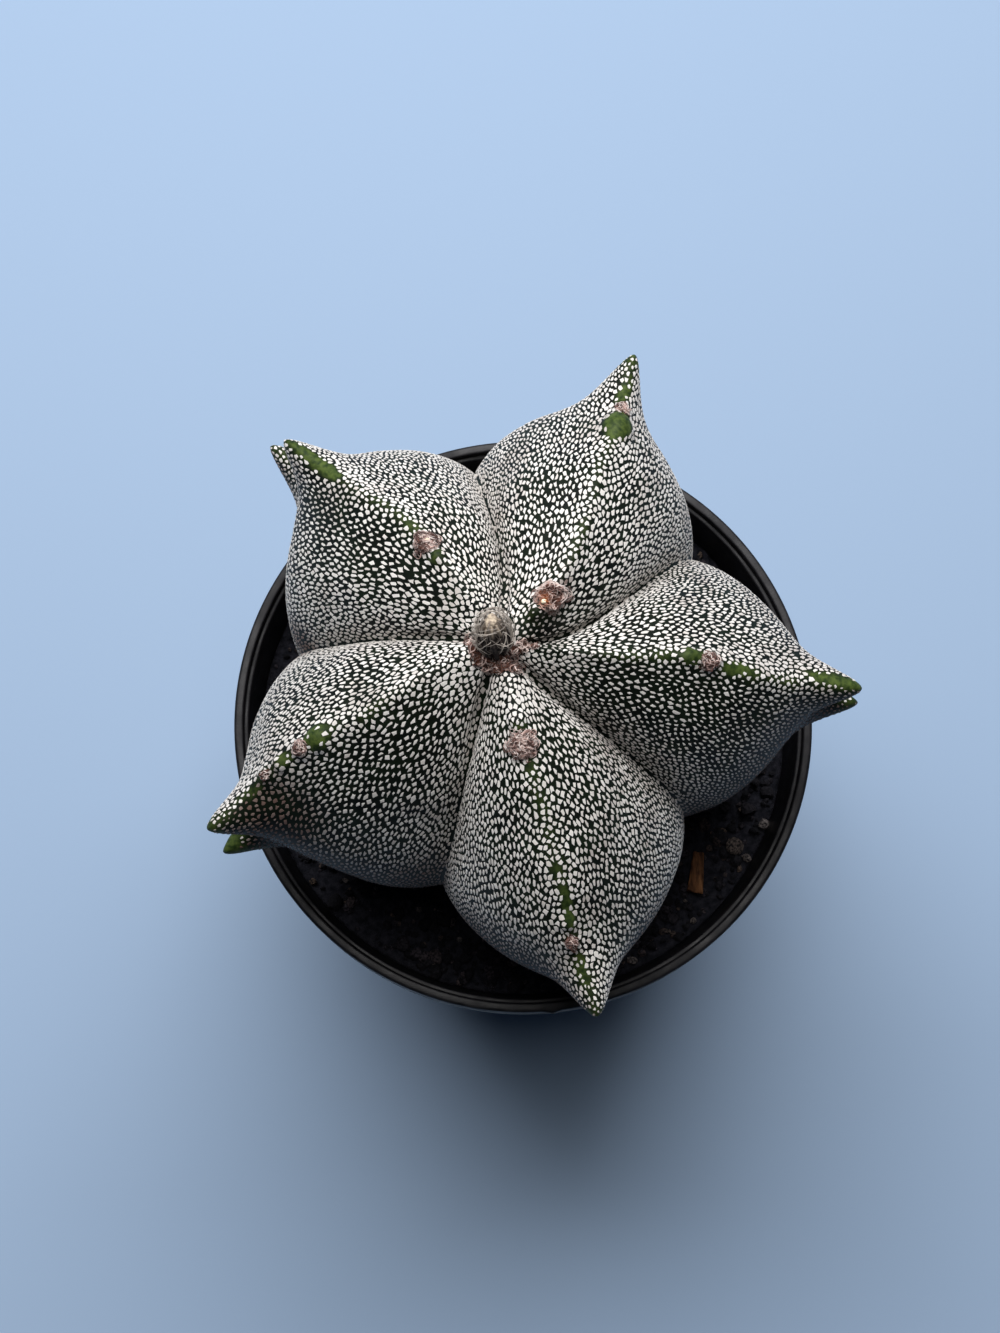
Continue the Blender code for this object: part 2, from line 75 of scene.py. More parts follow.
# Pot. A round nursery pot moulded from black polypropylene, with a collar under its rim, a stacking
# step inside it, six drain holes and six notches across its foot. Its corners leave the mould rounded.
POT_WALL = 1.2
COLLAR_DEPTH = 6.8
COLLAR_STEP = 1.1
COLLAR_STEP_HEIGHT = 0.2
BASE_RADIUS = 26.5
RIM_LAND = 1.2
LEDGE_DROP = 1.2
LEDGE_WIDTH = 0.6
FLOOR_THICKNESS = 1.3
FOOT_WIDTH = 3.2
RECESS_DEPTH = 1.0
RECESS_DRAFT = 0.3
CENTRE_DISC_RADIUS = 12.0
DRAIN_HOLES = 6
DRAIN_HOLE_RADIUS = 2.5
DRAIN_CIRCLE_RADIUS = 18.0
FOOT_NOTCH = Vector((8.0, 4.0, 1.6))
POT_STEPS = 192
# A thread of flash that the mould left on the collar's edge: its direction, its reach out and down, and how
# far in and down from the edge the plastic is drawn with it
FLASH_TURN = math.radians(275.8)
FLASH_HALF_WIDTH = 0.9
FLASH_REACH = 0.35
FLASH_DROP = 0.4
FLASH_BAND = (0.5, 1.0)

rim_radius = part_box("pot")[1].x / MM
pot_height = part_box("pot")[1].z / MM


def screen_colour(red, green, blue):
    """A colour given as it shows on a screen, 0 to 255, in the linear values that shaders take."""
    shares = [value / 255.0 for value in (red, green, blue)]
    return tuple(s / 12.92 if s <= 0.04045 else ((s + 0.055) / 1.055) ** 2.4 for s in shares) + (1.0,)


def new_finish(name, roughness, specular=0.5):
    """A material, its node tree and its shader, with the values that are the same all over it."""
    finish = bpy.data.materials.new(name)
    finish.use_nodes = True
    tree = finish.node_tree
    shader = next(n for n in tree.nodes if n.type == "BSDF_PRINCIPLED")
    shader.inputs["Roughness"].default_value = roughness
    shader.inputs["Specular IOR Level"].default_value = specular
    return finish, tree, shader


def add(tree, kind, sockets=(), **settings):
    """A node with its settings, whose sockets get a value or a link from another node's output."""
    made = tree.nodes.new(kind)
    for name, value in settings.items():
        setattr(made, name, value)
    for key, value in dict(sockets).items():
        if isinstance(value, bpy.types.NodeSocket):
            tree.links.new(value, made.inputs[key])
        else:
            made.inputs[key].default_value = value
    return made


def place_in(tree, stretch=(1.0, 1.0, 1.0)):
    """The place on the object, in millimetres, stretched for patterns that run one way."""
    spot = add(tree, "ShaderNodeTexCoord").outputs["Object"]
    scale = tuple(value / MM for value in stretch)
    return add(tree, "ShaderNodeMapping", {"Vector": spot, "Scale": scale}).outputs["Vector"]


def cloud(tree, spot, size, detail=3.0, low=0.35, high=0.65):
    """Soft patches of about the given size, from 0 to 1."""
    patches = add(tree, "ShaderNodeTexNoise", {"Vector": spot, "Scale": 1.0 / size, "Detail": detail})
    spread = {"Value": patches.outputs["Fac"], "From Min": low, "From Max": high}
    return add(tree, "ShaderNodeMapRange", spread, clamp=True).outputs["Result"]


def blended(tree, share, first, second):
    """Two colours blended by a share from 0 to 1."""
    mix = add(tree, "ShaderNodeMix", data_type="RGBA")
    for key, value in ((0, share), (6, first), (7, second)):
        if isinstance(value, bpy.types.NodeSocket):
            tree.links.new(value, mix.inputs[key])
        else:
            mix.inputs[key].default_value = value
    return mix.outputs[2]


def worked(tree, operation, first, second):
    """Two numbers put together."""
    return add(tree, "ShaderNodeMath", {0: first, 1: second}, operation=operation).outputs[0]


def raise_surface(tree, shader, height, depth, strength=1.0):
    """Fine relief of a depth in millimetres that only the light shows."""
    sockets = {"Height": height, "Distance": depth * MM, "Strength": strength}
    relief = add(tree, "ShaderNodeBump", sockets)
    tree.links.new(relief.outputs["Normal"], shader.inputs["Normal"])


def black_plastic():
    """Black polypropylene with a fine moulded grain, dull scuffs, and dust on what faces up."""
    finish, tree, shader = new_finish("black_polypropylene", 0.45, specular=0.3)
    spot = place_in(tree)
    facing = add(tree, "ShaderNodeNewGeometry").outputs["Normal"]
    upward = add(tree, "ShaderNodeSeparateXYZ", {0: facing}).outputs["Z"]
    flat = add(tree, "ShaderNodeMapRange", {"Value": upward, "From Min": 0.3, "From Max": 0.95}, clamp=True)
    dust = worked(tree, "MULTIPLY", flat.outputs["Result"], cloud(tree, spot, 1.6, detail=6.0))
    streaks = cloud(tree, place_in(tree, (1.0, 1.0, 0.12)), 2.2, detail=5.0, low=0.52, high=0.8)
    black, worn = screen_colour(14, 14, 18), screen_colour(29, 29, 33)
    plain = blended(tree, streaks, black, worn)
    dusty = blended(tree, worked(tree, "MULTIPLY", dust, 0.4), plain, screen_colour(54, 52, 54))
    tree.links.new(dusty, shader.inputs["Base Color"])
    dull = add(tree, "ShaderNodeMapRange", {"Value": cloud(tree, spot, 4.0), "To Min": 0.36, "To Max": 0.58})
    tree.links.new(dull.outputs["Result"], shader.inputs["Roughness"])
    grain = cloud(tree, spot, 0.22, detail=4.0, low=0.2, high=0.8)
    raise_surface(tree, shader, grain, 0.02, 0.6)
    return finish


def new_piece(name, points, faces, finish, smooth=True):
    """A mesh piece from points in millimetres and faces that count them."""
    mesh = bpy.data.meshes.new(name)
    mesh.from_pydata((np.asarray(points) * MM).tolist(), [], faces)
    mesh.materials.append(finish)
    if smooth:
        mesh.shade_smooth()
    piece = bpy.data.objects.new(name, mesh)
    bpy.context.scene.collection.objects.link(piece)
    return piece


def pot_inner_radius(height):
    """The inside of the pot's slanting wall, at a height above its base."""
    share = height / (pot_height - COLLAR_DEPTH)
    return BASE_RADIUS + (rim_radius - COLLAR_STEP - BASE_RADIUS) * share - POT_WALL


def pot_corners():
    """Half of the pot's section from the rim's inner edge down its outside and back up its inside.

    Each corner has its radius, its height and how far it is rounded."""
    foot = pot_height - COLLAR_DEPTH
    ledge = rim_radius - RIM_LAND
    floor = RECESS_DEPTH + FLOOR_THICKNESS
    return (
        (ledge, pot_height, 0.3),
        (rim_radius, pot_height, 0.45),
        (rim_radius, foot, 0.35),
        (rim_radius - COLLAR_STEP, foot - COLLAR_STEP_HEIGHT, 0.35),
        (BASE_RADIUS, 0.0, 0.5),
        (BASE_RADIUS - FOOT_WIDTH, 0.0, 0.25),
        (BASE_RADIUS - FOOT_WIDTH - RECESS_DRAFT, RECESS_DEPTH, 0.3),
        (CENTRE_DISC_RADIUS + RECESS_DRAFT, RECESS_DEPTH, 0.3),
        (CENTRE_DISC_RADIUS, 0.0, 0.25),
        (0.0, 0.0, 0.0),
        (0.0, floor, 0.0),
        (pot_inner_radius(floor), floor, 0.9),
        (pot_inner_radius(foot), foot, 2.0),
        (ledge - LEDGE_WIDTH, pot_height - LEDGE_DROP, 0.3),
        (ledge, pot_height - LEDGE_DROP, 0.2),
    )


def rounded_outline(corners, steps=4):
    """A closed outline whose corners are turned into short curves."""
    outline = []
    for k, (radius, height, rounding) in enumerate(corners):
        corner = Vector((radius, height))
        if rounding == 0.0:
            outline.append(corner)
            continue
        before = Vector(corners[k - 1][:2]) - corner
        after = Vector(corners[(k + 1) % len(corners)][:2]) - corner
        start = corner + before.normalized() * min(rounding, 0.45 * before.length)
        end = corner + after.normalized() * min(rounding, 0.45 * after.length)
        for step in range(steps + 1):
            t = step / steps
            outline.append(start * (1.0 - t) ** 2 + corner * 2.0 * t * (1.0 - t) + end * t * t)
    return outline


def turned_pot(finish):
    """The pot's outline turned about its axis."""
    outline = [(point.x, 0.0, point.y) for point in rounded_outline(pot_corners())]
    count = len(outline)
    joined = [(k, (k + 1) % count) for k in range(count)]
    mesh = bpy.data.meshes.new("nursery_pot")
    edges = [(a, b) for a, b in joined if outline[a][0] > 0.0 or outline[b][0] > 0.0]
    mesh.from_pydata((np.array(outline) * MM).tolist(), edges, [])
    mesh.materials.append(finish)
    piece = bpy.data.objects.new("nursery_pot", mesh)
    bpy.context.scene.collection.objects.link(piece)
    screw = piece.modifiers.new("turned", "SCREW")
    screw.steps = screw.render_steps = POT_STEPS
    screw.use_merge_vertices = True
    screw.merge_threshold = 0.01 * MM
    return piece


def drain_cutter():
    """Six drills for the drain holes and six bars for the notches across the foot."""
    bm = bmesh.new()
    reach = 4.0 * (RECESS_DEPTH + FLOOR_THICKNESS)
    for k in range(DRAIN_HOLES):
        turn = math.tau * k / DRAIN_HOLES
        drill = bmesh.ops.create_cone(
            bm, cap_ends=True, segments=48, radius1=DRAIN_HOLE_RADIUS, radius2=DRAIN_HOLE_RADIUS, depth=reach)
        centre = Vector((math.cos(turn), math.sin(turn), 0.0)) * DRAIN_CIRCLE_RADIUS
        bmesh.ops.translate(bm, verts=drill["verts"], vec=centre)
        notch = bmesh.ops.create_cube(bm, size=1.0)
        bmesh.ops.scale(bm, verts=notch["verts"], vec=FOOT_NOTCH)
        bmesh.ops.translate(bm, verts=notch["verts"], vec=(BASE_RADIUS, 0.0, 0.0))
        halfway = Matrix.Rotation(turn + math.pi / DRAIN_HOLES, 3, "Z")
        bmesh.ops.rotate(bm, verts=notch["verts"], matrix=halfway)
    bmesh.ops.scale(bm, verts=bm.verts, vec=(MM, MM, MM))
    mesh = bpy.data.meshes.new("drain_cutter")
    bm.to_mesh(mesh)
    bm.free()
    cutter = bpy.data.objects.new("drain_cutter", mesh)
    bpy.context.scene.collection.objects.link(cutter)
    return cutter


def keep_modifiers(piece):
    """Turns what the modifiers make into the piece's own mesh."""
    graph = bpy.context.evaluated_depsgraph_get()
    made = bpy.data.meshes.new_from_object(piece.evaluated_get(graph))
    piece.modifiers.clear()
    piece.data = made


def leave_flash(piece):
    """Draws out the thread of flash on the collar's edge."""
    pull = Vector((math.cos(FLASH_TURN), math.sin(FLASH_TURN), -FLASH_DROP)) * FLASH_REACH
    for vertex in piece.data.vertices:
        x, y, z = vertex.co / MM
        aside = rim_radius * math.sin(math.atan2(y, x) - FLASH_TURN)
        share = max(0.0, 1.0 - abs(aside) / FLASH_HALF_WIDTH)
        on_edge = math.hypot(x, y) > rim_radius - FLASH_BAND[0] and z > pot_height - FLASH_BAND[1]
        if share > 0.0 and y < 0.0 and on_edge:
            vertex.co += pull * share * MM


pot = turned_pot(black_plastic())
cutter = drain_cutter()
drains = pot.modifiers.new("drains", "BOOLEAN")
drains.object = cutter
drains.operation = "DIFFERENCE"
keep_modifiers(pot)
bpy.data.objects.remove(cutter)
leave_flash(pot)
pot.data.shade_smooth()
pot.data.set_sharp_from_angle(angle=math.radians(32.0))
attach(pot, "root")
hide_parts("pot")


# Plant. One grown stem with five ribs, sharp crests and deep creases, rooted in the mix. Its dark skin
# is waxy, and shows bright green where the crests are bare. It has the form of the solid that it stands for.
# Each station is the crest's radius and height and the crease's radius and height above the rim.
STATIONS = np.array((
    (0.0, 42.8, 0.0, 42.8),
    (2.4, 42.8, 2.2, 42.7),
    (5.4, 43.7, 4.2, 41.5),
    (10.6, 43.5, 7.8, 39.0),
    (18.0, 41.1, 13.2, 35.0),
    (26.0, 37.2, 19.2, 29.2),
    (33.0, 31.8, 24.2, 23.0),
    (36.4, 25.5, 26.4, 17.0),
    (36.2, 17.5, 25.9, 10.0),
    (33.4, 7.0, 23.8, 2.0),
    (29.8, -2.0, 21.6, -4.0),
    (26.6, -9.0, 19.8, -9.0),
    (22.6, -13.2, 17.6, -13.2),
    (15.2, -18.0, 13.6, -18.0),
    (8.4, -21.6, 8.4, -21.6),
    (5.0, -25.6, 5.0, -25.6),
    (0.0, -27.6, 0.0, -27.6),
))
SHOULDER = 7
GROUND = 11
CROWN_CENTRE = np.array((-3.4, 2.1, 0.0))
BODY_CENTRE = np.array((-1.2, 2.5, 0.0))
LEAN_ENDS = 38.0
# Crests and creases run at these degrees from +X and turn by some more towards the crown. A rib's shoulder
# lies further out than the stations say by its reach and higher by its lift, and its crest is rounded by its
# softness. Spurs and wool pads lie along the crest at these distances from the crown. Each spur has its
# length and its turn from the rib's direction. At some distances a crest has wandered anticlockwise by its
# sway.
Rib = namedtuple("Rib", "crest crest_turn crease crease_turn reach lift softness spurs pads sway")
RIBS = (
    Rib(
        -3.8, -8.0, -39.0, -4.0, 0.2, 0.6, 0.07, ((41.5, 5.0, -7.0), (53.0, 6.2, -4.0), (67.0, 1.0, 0.0)),
        (23.6,), ((12.0, 0.0), (21.0, 0.6), (24.0, 0.3), (30.0, -0.9), (35.0, -1.0), (41.0, 0.0))),
    Rib(
        69.0, -43.0, 34.0, -45.0, -0.8, 0.2, 0.07, ((41.5, 5.5, 0.0), (55.0, 4.4, 0.0), (67.0, 1.0, 0.0)),
        (8.3, 35.8), ((24.0, 0.0), (33.0, -1.0), (36.0, -1.0), (41.0, 0.0))),
    Rib(
        135.0, -20.0, 101.0, -28.0, -1.6, 0.8, 0.06,
        ((40.0, 4.9, 9.0), (52.0, 7.2, 8.0), (57.0, 3.0, 9.0), (66.0, 1.0, 0.0)),
        (15.2,), ((14.0, 0.0), (18.0, -0.6), (21.0, -0.7), (26.0, -0.3), (31.0, 0.0))),
    Rib(
        208.9, -6.0, 173.8, -4.0, 0.4, 0.0, 0.08, ((41.5, 5.0, 0.0), (59.0, 7.2, 8.0), (70.0, 0.6, 0.0)),
        (27.8, 34.0), ((17.0, 0.0), (25.0, -1.2), (30.0, -1.6), (34.0, -1.6), (41.0, 0.0))),
    Rib(
        282.8, 4.0, 250.6, 4.0, 1.2, -0.8, 0.24, ((41.8, 5.6, 0.0), (55.0, 4.6, 0.0), (67.0, 1.0, 0.0)),
        (11.6, 35.4), ((5.0, 0.0), (11.5, -0.45), (20.0, -0.5), (28.0, -0.75), (35.0, -1.1), (41.5, 0.0))),
)
EAST, NORTH, NORTH_WEST, WEST, SOUTH = range(len(RIBS))
# The flanks swell most near their creases. Spurs draw the skin out and up, and the pads under the wool and
# the bare knobs above them stand out a little.
FLANK_BULGE = 2.1
BULGE_TOWARDS_CREASE = 1.5
BULGE_STARTS = (2.0, 26.0)
BULGE_FADES_BELOW_SOIL = 14.0
SPUR_WIDTH = 2.6
SPUR_STRETCH = 1.25
SPUR_SHARPNESS = 1.7
SPUR_RISE = 0.34
PAD_RADIUS = 1.7
PAD_HEIGHT = 0.35
KNOB_OFFSET = 2.4
KNOB_RADIUS = 1.2
KNOB_HEIGHT = 0.6
# Two knobs stand out more: the rib, the distance from the crown, the radius and the height
PROUD_KNOBS = ((NORTH, 33.1, 2.4, 1.1), (WEST, 25.3, 1.8, 0.6))
# The creases are pinched into narrow furrows near the crown
FURROW_DEPTH = 0.6
FURROW_WIDTH = 0.5
FURROW_STARTS = (1.0, 3.0)
FURROW_FADES = (11.0, 20.0)
# The skin's grid: its columns a rib, how they crowd towards the crest, and its rows' steps down to a depth
COLUMNS_A_RIB = 64
COLUMN_CROWDING = 1.45
ROW_STEPS = ((80.0, 0.66), (120.0, 2.4))
# Slow waves in the skin, each with its size and height. They fade in below the crown and out over the soil.
SKIN_WAVES = ((9.0, 0.22), (3.2, 0.07))
WAVES_START = (3.0, 8.0)
WAVES_FADE_OVER_SOIL = 4.0
# A faint green line follows each crest, brighter and fainter in patches
CREST_GREEN = 0.42
CREST_GREEN_WIDTH = 0.7
CREST_GREEN_FROM = (9.0, 15.0)
CREST_GREEN_PATCHES = 3.0
CREST_GREEN_MEAN = 0.6
CREST_GREEN_SWING = 1.2
CREST_GREEN_MOST = 1.2
# Patches of bare green skin have ragged edges. Each has its rib, its distance from the crown, its place
# across the crest, how far it reaches along and across, all in millimetres, and how bright it is.
BARE_EDGE = (0.7, 1.15)
BARE_RAGGED = 0.2
BARE_RAGGED_SIZE = 0.9
Bare = namedtuple("Bare", "rib depth aside along across bright")
BARE_SKIN = (
    Bare(EAST, 21.5, 0.0, 1.3, 0.9, 0.8),
    Bare(EAST, 27.2, 0.0, 2.2, 0.8, 0.9),
    Bare(EAST, 39.6, 0.3, 2.9, 0.8, 1.0),
    Bare(EAST, 53.0, 0.0, 1.8, 1.6, 0.7),
    Bare(NORTH, 5.2, 0.1, 1.5, 1.5, 0.12),
    Bare(NORTH, 32.6, 0.0, 2.9, 1.15, 1.0),
    Bare(NORTH, 37.9, 0.1, 1.3, 0.8, 0.9),
    Bare(NORTH, 41.8, 0.0, 1.6, 1.3, 0.8),
    Bare(NORTH, 55.0, 0.0, 1.6, 1.4, 0.5),
    Bare(NORTH_WEST, 12.8, 0.2, 0.8, 0.7, 0.6),
    Bare(NORTH_WEST, 18.9, 0.0, 2.2, 0.6, 0.6),
    Bare(NORTH_WEST, 36.0, 0.0, 3.6, 0.85, 1.0),
    Bare(NORTH_WEST, 52.0, 0.0, 1.8, 1.2, 0.35),
    Bare(WEST, 25.2, 0.0, 1.8, 1.15, 0.9),
    Bare(WEST, 30.5, 0.1, 1.2, 0.7, 0.7),
    Bare(WEST, 37.0, 0.0, 1.8, 0.6, 0.4),
    Bare(WEST, 41.9, 0.0, 1.5, 1.3, 0.9),
    Bare(WEST, 59.0, 0.0, 3.0, 2.4, 1.0),
    Bare(SOUTH, 9.9, 0.0, 0.45, 0.9, 0.5),
    Bare(SOUTH, 13.9, 0.2, 0.9, 0.5, 0.5),
    Bare(SOUTH, 31.0, 0.2, 3.4, 0.6, 0.8),
    Bare(SOUTH, 38.0, 0.0, 1.6, 0.6, 0.7),
    Bare(SOUTH, 42.2, 0.0, 1.4, 1.2, 0.7),
    Bare(SOUTH, 55.0, 0.0, 1.6, 1.4, 0.4),
)

station_steps = np.hypot(*np.diff(STATIONS[:, :2], axis=0).T)
station_depths = np.concatenate(([0.0], np.cumsum(station_steps)))
shoulder_depth = station_depths[SHOULDER]
soil_depth = station_depths[GROUND]


def smooth_step(low, high, value):
    """From 0 at the low value to 1 at the high one, with soft ends."""
    share = np.clip((value - low) / (high - low), 0.0, 1.0)
    return share * share * (3.0 - 2.0 * share)


def outline_at(depth):
    """Crest radius and height and crease radius and height on one smooth curve through the stations."""
    last = len(STATIONS) - 1
    k = np.clip(np.searchsorted(station_depths, depth, side="right") - 1, 0, last - 1)
    below, above = np.maximum(np.arange(last + 1) - 1, 0), np.minimum(np.arange(last + 1) + 1, last)
    slopes = (STATIONS[above] - STATIONS[below]) / (station_depths[above] - station_depths[below])[:, None]
    span = (station_depths[k + 1] - station_depths[k])[:, None]
    t = (depth - station_depths[k])[:, None] / span
    ends = STATIONS[k] + (STATIONS[k + 1] - STATIONS[k]) * t * t * (3.0 - 2.0 * t)
    return ends + span * (slopes[k] * t * (1.0 - t) ** 2 - slopes[k + 1] * t * t * (1.0 - t))


def axis_at(depth):
    """The plant's axis, which leans a little towards the crown."""
    share = smooth_step(0.0, LEAN_ENDS, depth)[:, None]
    return CROWN_CENTRE * (1.0 - share) + BODY_CENTRE * share


def turned_angle(angle, turn, radius, depth, full_radius):
    """A rib's or crease's direction, which turns as it nears the crown."""
    share = np.where(depth < shoulder_depth, np.maximum(0.0, 1.0 - radius / full_radius), 0.0)
    return np.radians(angle + turn * share * share)


def level(angle):
    """The level direction at an angle from +X."""
    return np.stack((np.cos(angle), np.sin(angle), np.zeros_like(angle)), axis=-1)


def sway_at(rib, depth):
    """How far a crest has wandered anticlockwise."""
    steps = zip(rib.sway, rib.sway[1:])
    return sum((after - before) * smooth_step(start, end, depth) for (start, before), (end, after) in steps)


def crest_line(rib, depth):
    """Points along a rib's crest, and the crest's direction there."""
    crest_radius, crest_height = outline_at(depth)[:, :2].T
    angle = turned_angle(rib.crest, rib.crest_turn, crest_radius, depth, STATIONS[SHOULDER, 0])
    risen = smooth_step(0.0, shoulder_depth, depth)
    share = np.where(depth < shoulder_depth, risen, 1.0 - smooth_step(shoulder_depth, soil_depth, depth))
    line = axis_at(depth) + level(angle) * (crest_radius + rib.reach * share)[:, None]
    line += level(angle + 0.5 * np.pi) * sway_at(rib, depth)[:, None]
    line[:, 2] = pot_height + crest_height + rib.lift * share
    return line, angle


def crease_line(rib, depth):
    """Points along the crease before a rib."""
    crease_radius, crease_height = outline_at(depth)[:, 2:].T
    angle = turned_angle(rib.crease, rib.crease_turn, crease_radius, depth, STATIONS[SHOULDER, 2])
    line = axis_at(depth) + level(angle) * crease_radius[:, None]
    line[:, 2] = pot_height + crease_height
    return line


def along_rows(first, second):
    """The dot product of two grids of directions."""
    return (first * second).sum(axis=-1, keepdims=True)


def outward_of(points):
    """The outward direction at each point of the skin's grid."""
    around = np.roll(points, -1, axis=1) - np.roll(points, 1, axis=1)
    down = np.gradient(points, axis=0)
    outward = np.cross(down, around)
    outward[0], outward[-1] = (0.0, 0.0, 1.0), (0.0, 0.0, -1.0)
    return outward / np.linalg.norm(outward, axis=-1, keepdims=True)


def bump(distance, radius, height):
    """A low round rise that ends at its radius."""
    return height * np.cos(0.5 * np.pi * np.minimum(distance / radius, 1.0))


def row_depths():
    """The distance from the crown of each row of the skin's grid, measured along the crests."""
    depths = [0.0]
    for limit, step in ROW_STEPS:
        limit = min(limit, station_depths[-1])
        count = round((limit - depths[-1]) / step)
        depths += list(np.linspace(depths[-1], limit, count + 1)[1:])
    depths[int(np.argmin(np.abs(np.array(depths) - soil_depth)))] = soil_depth
    return np.array(depths)


# Each column of the grid has its side: 0 on its rib's crest, -1 and 1 in the creases before and after it
depths = row_depths()
rows = len(depths) - 1
columns = COLUMNS_A_RIB * len(RIBS)
column_rib = np.arange(columns) // COLUMNS_A_RIB
half = COLUMNS_A_RIB // 2
column_place = (np.arange(columns) % COLUMNS_A_RIB - half) / half
side = np.sign(column_place) * np.abs(column_place) ** COLUMN_CROWDING
soil_row = int(np.argmin(np.abs(depths - soil_depth)))


def plain_body():
    """The star-shaped body before its spurs, pads and swelling."""
    body = np.zeros((rows + 1, columns, 3))
    for k, rib in enumerate(RIBS):
        mine = column_rib == k
        crest, angle = crest_line(rib, depths)
        before, after = crease_line(rib, depths), crease_line(RIBS[(k + 1) % len(RIBS)], depths)
        crease = np.where(side[mine][None, :, None] < 0.0, before[:, None], after[:, None])
        step = crease - crest[:, None]
        outward, across = level(angle)[:, None], level(angle + 0.5 * np.pi)[:, None]
        share = np.abs(side[mine])[None, :, None]
        fall = (np.hypot(share, rib.softness) - rib.softness) / (math.hypot(1.0, rib.softness) - rib.softness)
        points = crest[:, None] + outward * along_rows(step, outward) * fall
        points = points + across * along_rows(step, across) * share
        points[..., 2] = crest[:, None, 2] + step[..., 2] * fall[..., 0]
        body[:, mine] = points
    return body


def knobs_on(k, near):
    """How far the pads under the wool and the bare knobs above them stand out on a rib."""
    rib = RIBS[k]
    knobs = [(depth, PAD_RADIUS, PAD_HEIGHT) for depth in rib.pads]
    knobs += [(depth - KNOB_OFFSET, KNOB_RADIUS, KNOB_HEIGHT) for depth in rib.pads]
    knobs += [knob[1:] for knob in PROUD_KNOBS if knob[0] == k]
    rise = np.zeros(near.shape[:2])
    for depth, radius, height in knobs:
        (middle,), _ = crest_line(rib, np.array((depth,)))
        rise = np.maximum(rise, bump(np.linalg.norm(near - middle, axis=-1), radius, height))
    return rise


def furrows_beside(near):
    """How deep the furrows in the two creases beside a rib are."""
    to_first = np.linalg.norm(near - near[:, :1], axis=-1)
    to_last = np.linalg.norm(near - near[:, -1:], axis=-1)
    pinched = smooth_step(*FURROW_STARTS, depths) * (1.0 - smooth_step(*FURROW_FADES, depths))
    return FURROW_DEPTH * pinched[:, None] * np.exp(-((np.minimum(to_first, to_last) / FURROW_WIDTH) ** 2))


def spurs_on(rib, near):
    """How far a rib's spurs draw its skin out, and in which direction."""
    push = np.zeros_like(near)
    for depth, length, turn in rib.spurs:
        (root,), angle = crest_line(rib, np.array((depth,)))
        angle = angle + math.radians(turn)
        aim = level(angle)[0] + (0.0, 0.0, SPUR_RISE)
        aim /= np.linalg.norm(aim)
        across = level(angle + 0.5 * np.pi)[0]
        away = near - root
        sideways = along_rows(away, across)
        rest = np.linalg.norm(away - sideways * across, axis=-1, keepdims=True)
        distance = np.hypot(sideways, rest / SPUR_STRETCH)
        push += aim * length * np.exp(-((distance / SPUR_WIDTH) ** SPUR_SHARPNESS))
    return push


def waves_over(body):
    """Slow waves over the open skin."""
    open_air = 1.0 - smooth_step(soil_depth - WAVES_FADE_OVER_SOIL, soil_depth, depths)
    risen = smooth_step(*WAVES_START, depths) * open_air
    waves = np.zeros(body.shape[:2])
    for row in range(1, rows):
        for column in range(columns):
            spot = Vector(body[row, column])
            waves[row, column] = sum(height * noise.noise(spot / size) for size, height in SKIN_WAVES)
    return waves * risen[:, None]


def grown_skin():
    """The skin with its swollen flanks, spurs, pads, knobs and slow waves."""
    body = plain_body()
    outward = outward_of(body)
    place = np.abs(side)[None] ** BULGE_TOWARDS_CREASE
    risen = smooth_step(*BULGE_STARTS, depths)
    buried = smooth_step(soil_depth, soil_depth + BULGE_FADES_BELOW_SOIL, depths)
    rise = FLANK_BULGE * 4.0 * place * (1.0 - place) * (risen * (1.0 - buried))[:, None]
    push = np.zeros_like(body)
    for k, rib in enumerate(RIBS):
        mine = np.flatnonzero(column_rib == k)
        near = body[:, mine]
        rise[:, mine] += knobs_on(k, near)
        rise[:, mine] -= furrows_beside(near)
        push[:, mine] = spurs_on(rib, near)
    return body + outward * (rise + waves_over(body))[..., None] + push


def bare_share():
    """How bare and how bright green the skin is at each point of its grid."""
    bare = np.zeros((rows + 1, columns))
    for k, rib in enumerate(RIBS):
        mine = np.flatnonzero(column_rib == k)
        crest, _ = crest_line(rib, depths)
        found = np.array([noise.noise(Vector(point) / CREST_GREEN_PATCHES) for point in crest])
        patchy = np.clip(CREST_GREEN_MEAN + CREST_GREEN_SWING * found, 0.0, CREST_GREEN_MOST)
        green = CREST_GREEN * smooth_step(*CREST_GREEN_FROM, depths) * patchy
        from_crest = np.linalg.norm(plain[:, mine] - crest[:, None], axis=-1)
        bare[:, mine] = green[:, None] * np.exp(-((from_crest / CREST_GREEN_WIDTH) ** 2))
    for patch in BARE_SKIN:
        rib = RIBS[patch.rib]
        (centre, below), angle = crest_line(rib, np.array((patch.depth, patch.depth + 1.0)))
        mine = np.flatnonzero(column_rib == patch.rib)
        across = level(angle[:1] + 0.5 * np.pi)[0]
        path = (below - centre) / np.linalg.norm(below - centre)
        away = plain[:, mine] - centre
        down = along_rows(away, path)[..., 0] / patch.along
        aside = (along_rows(away, across)[..., 0] - patch.aside) / patch.across
        points = [Vector(point) / BARE_RAGGED_SIZE for point in plain[:, mine].reshape(-1, 3)]
        ragged = np.array([noise.noise(point) for point in points]).reshape(down.shape)
        distance = np.hypot(down, aside) + BARE_RAGGED * ragged
        found = patch.bright * (1.0 - smooth_step(*BARE_EDGE, distance))
        bare[:, mine] = np.maximum(bare[:, mine], found)
    return bare


def grid_faces(first_row, last_row, count):
    """Four-sided faces between the rows of a grid that closes round."""
    row = np.arange(first_row, last_row)[:, None] * count
    here, there = np.arange(count), (np.arange(count) + 1) % count
    corners = (row + here, row + count + here, row + count + there, row + there)
    return np.stack(corners, axis=-1).reshape(-1, 4).tolist()


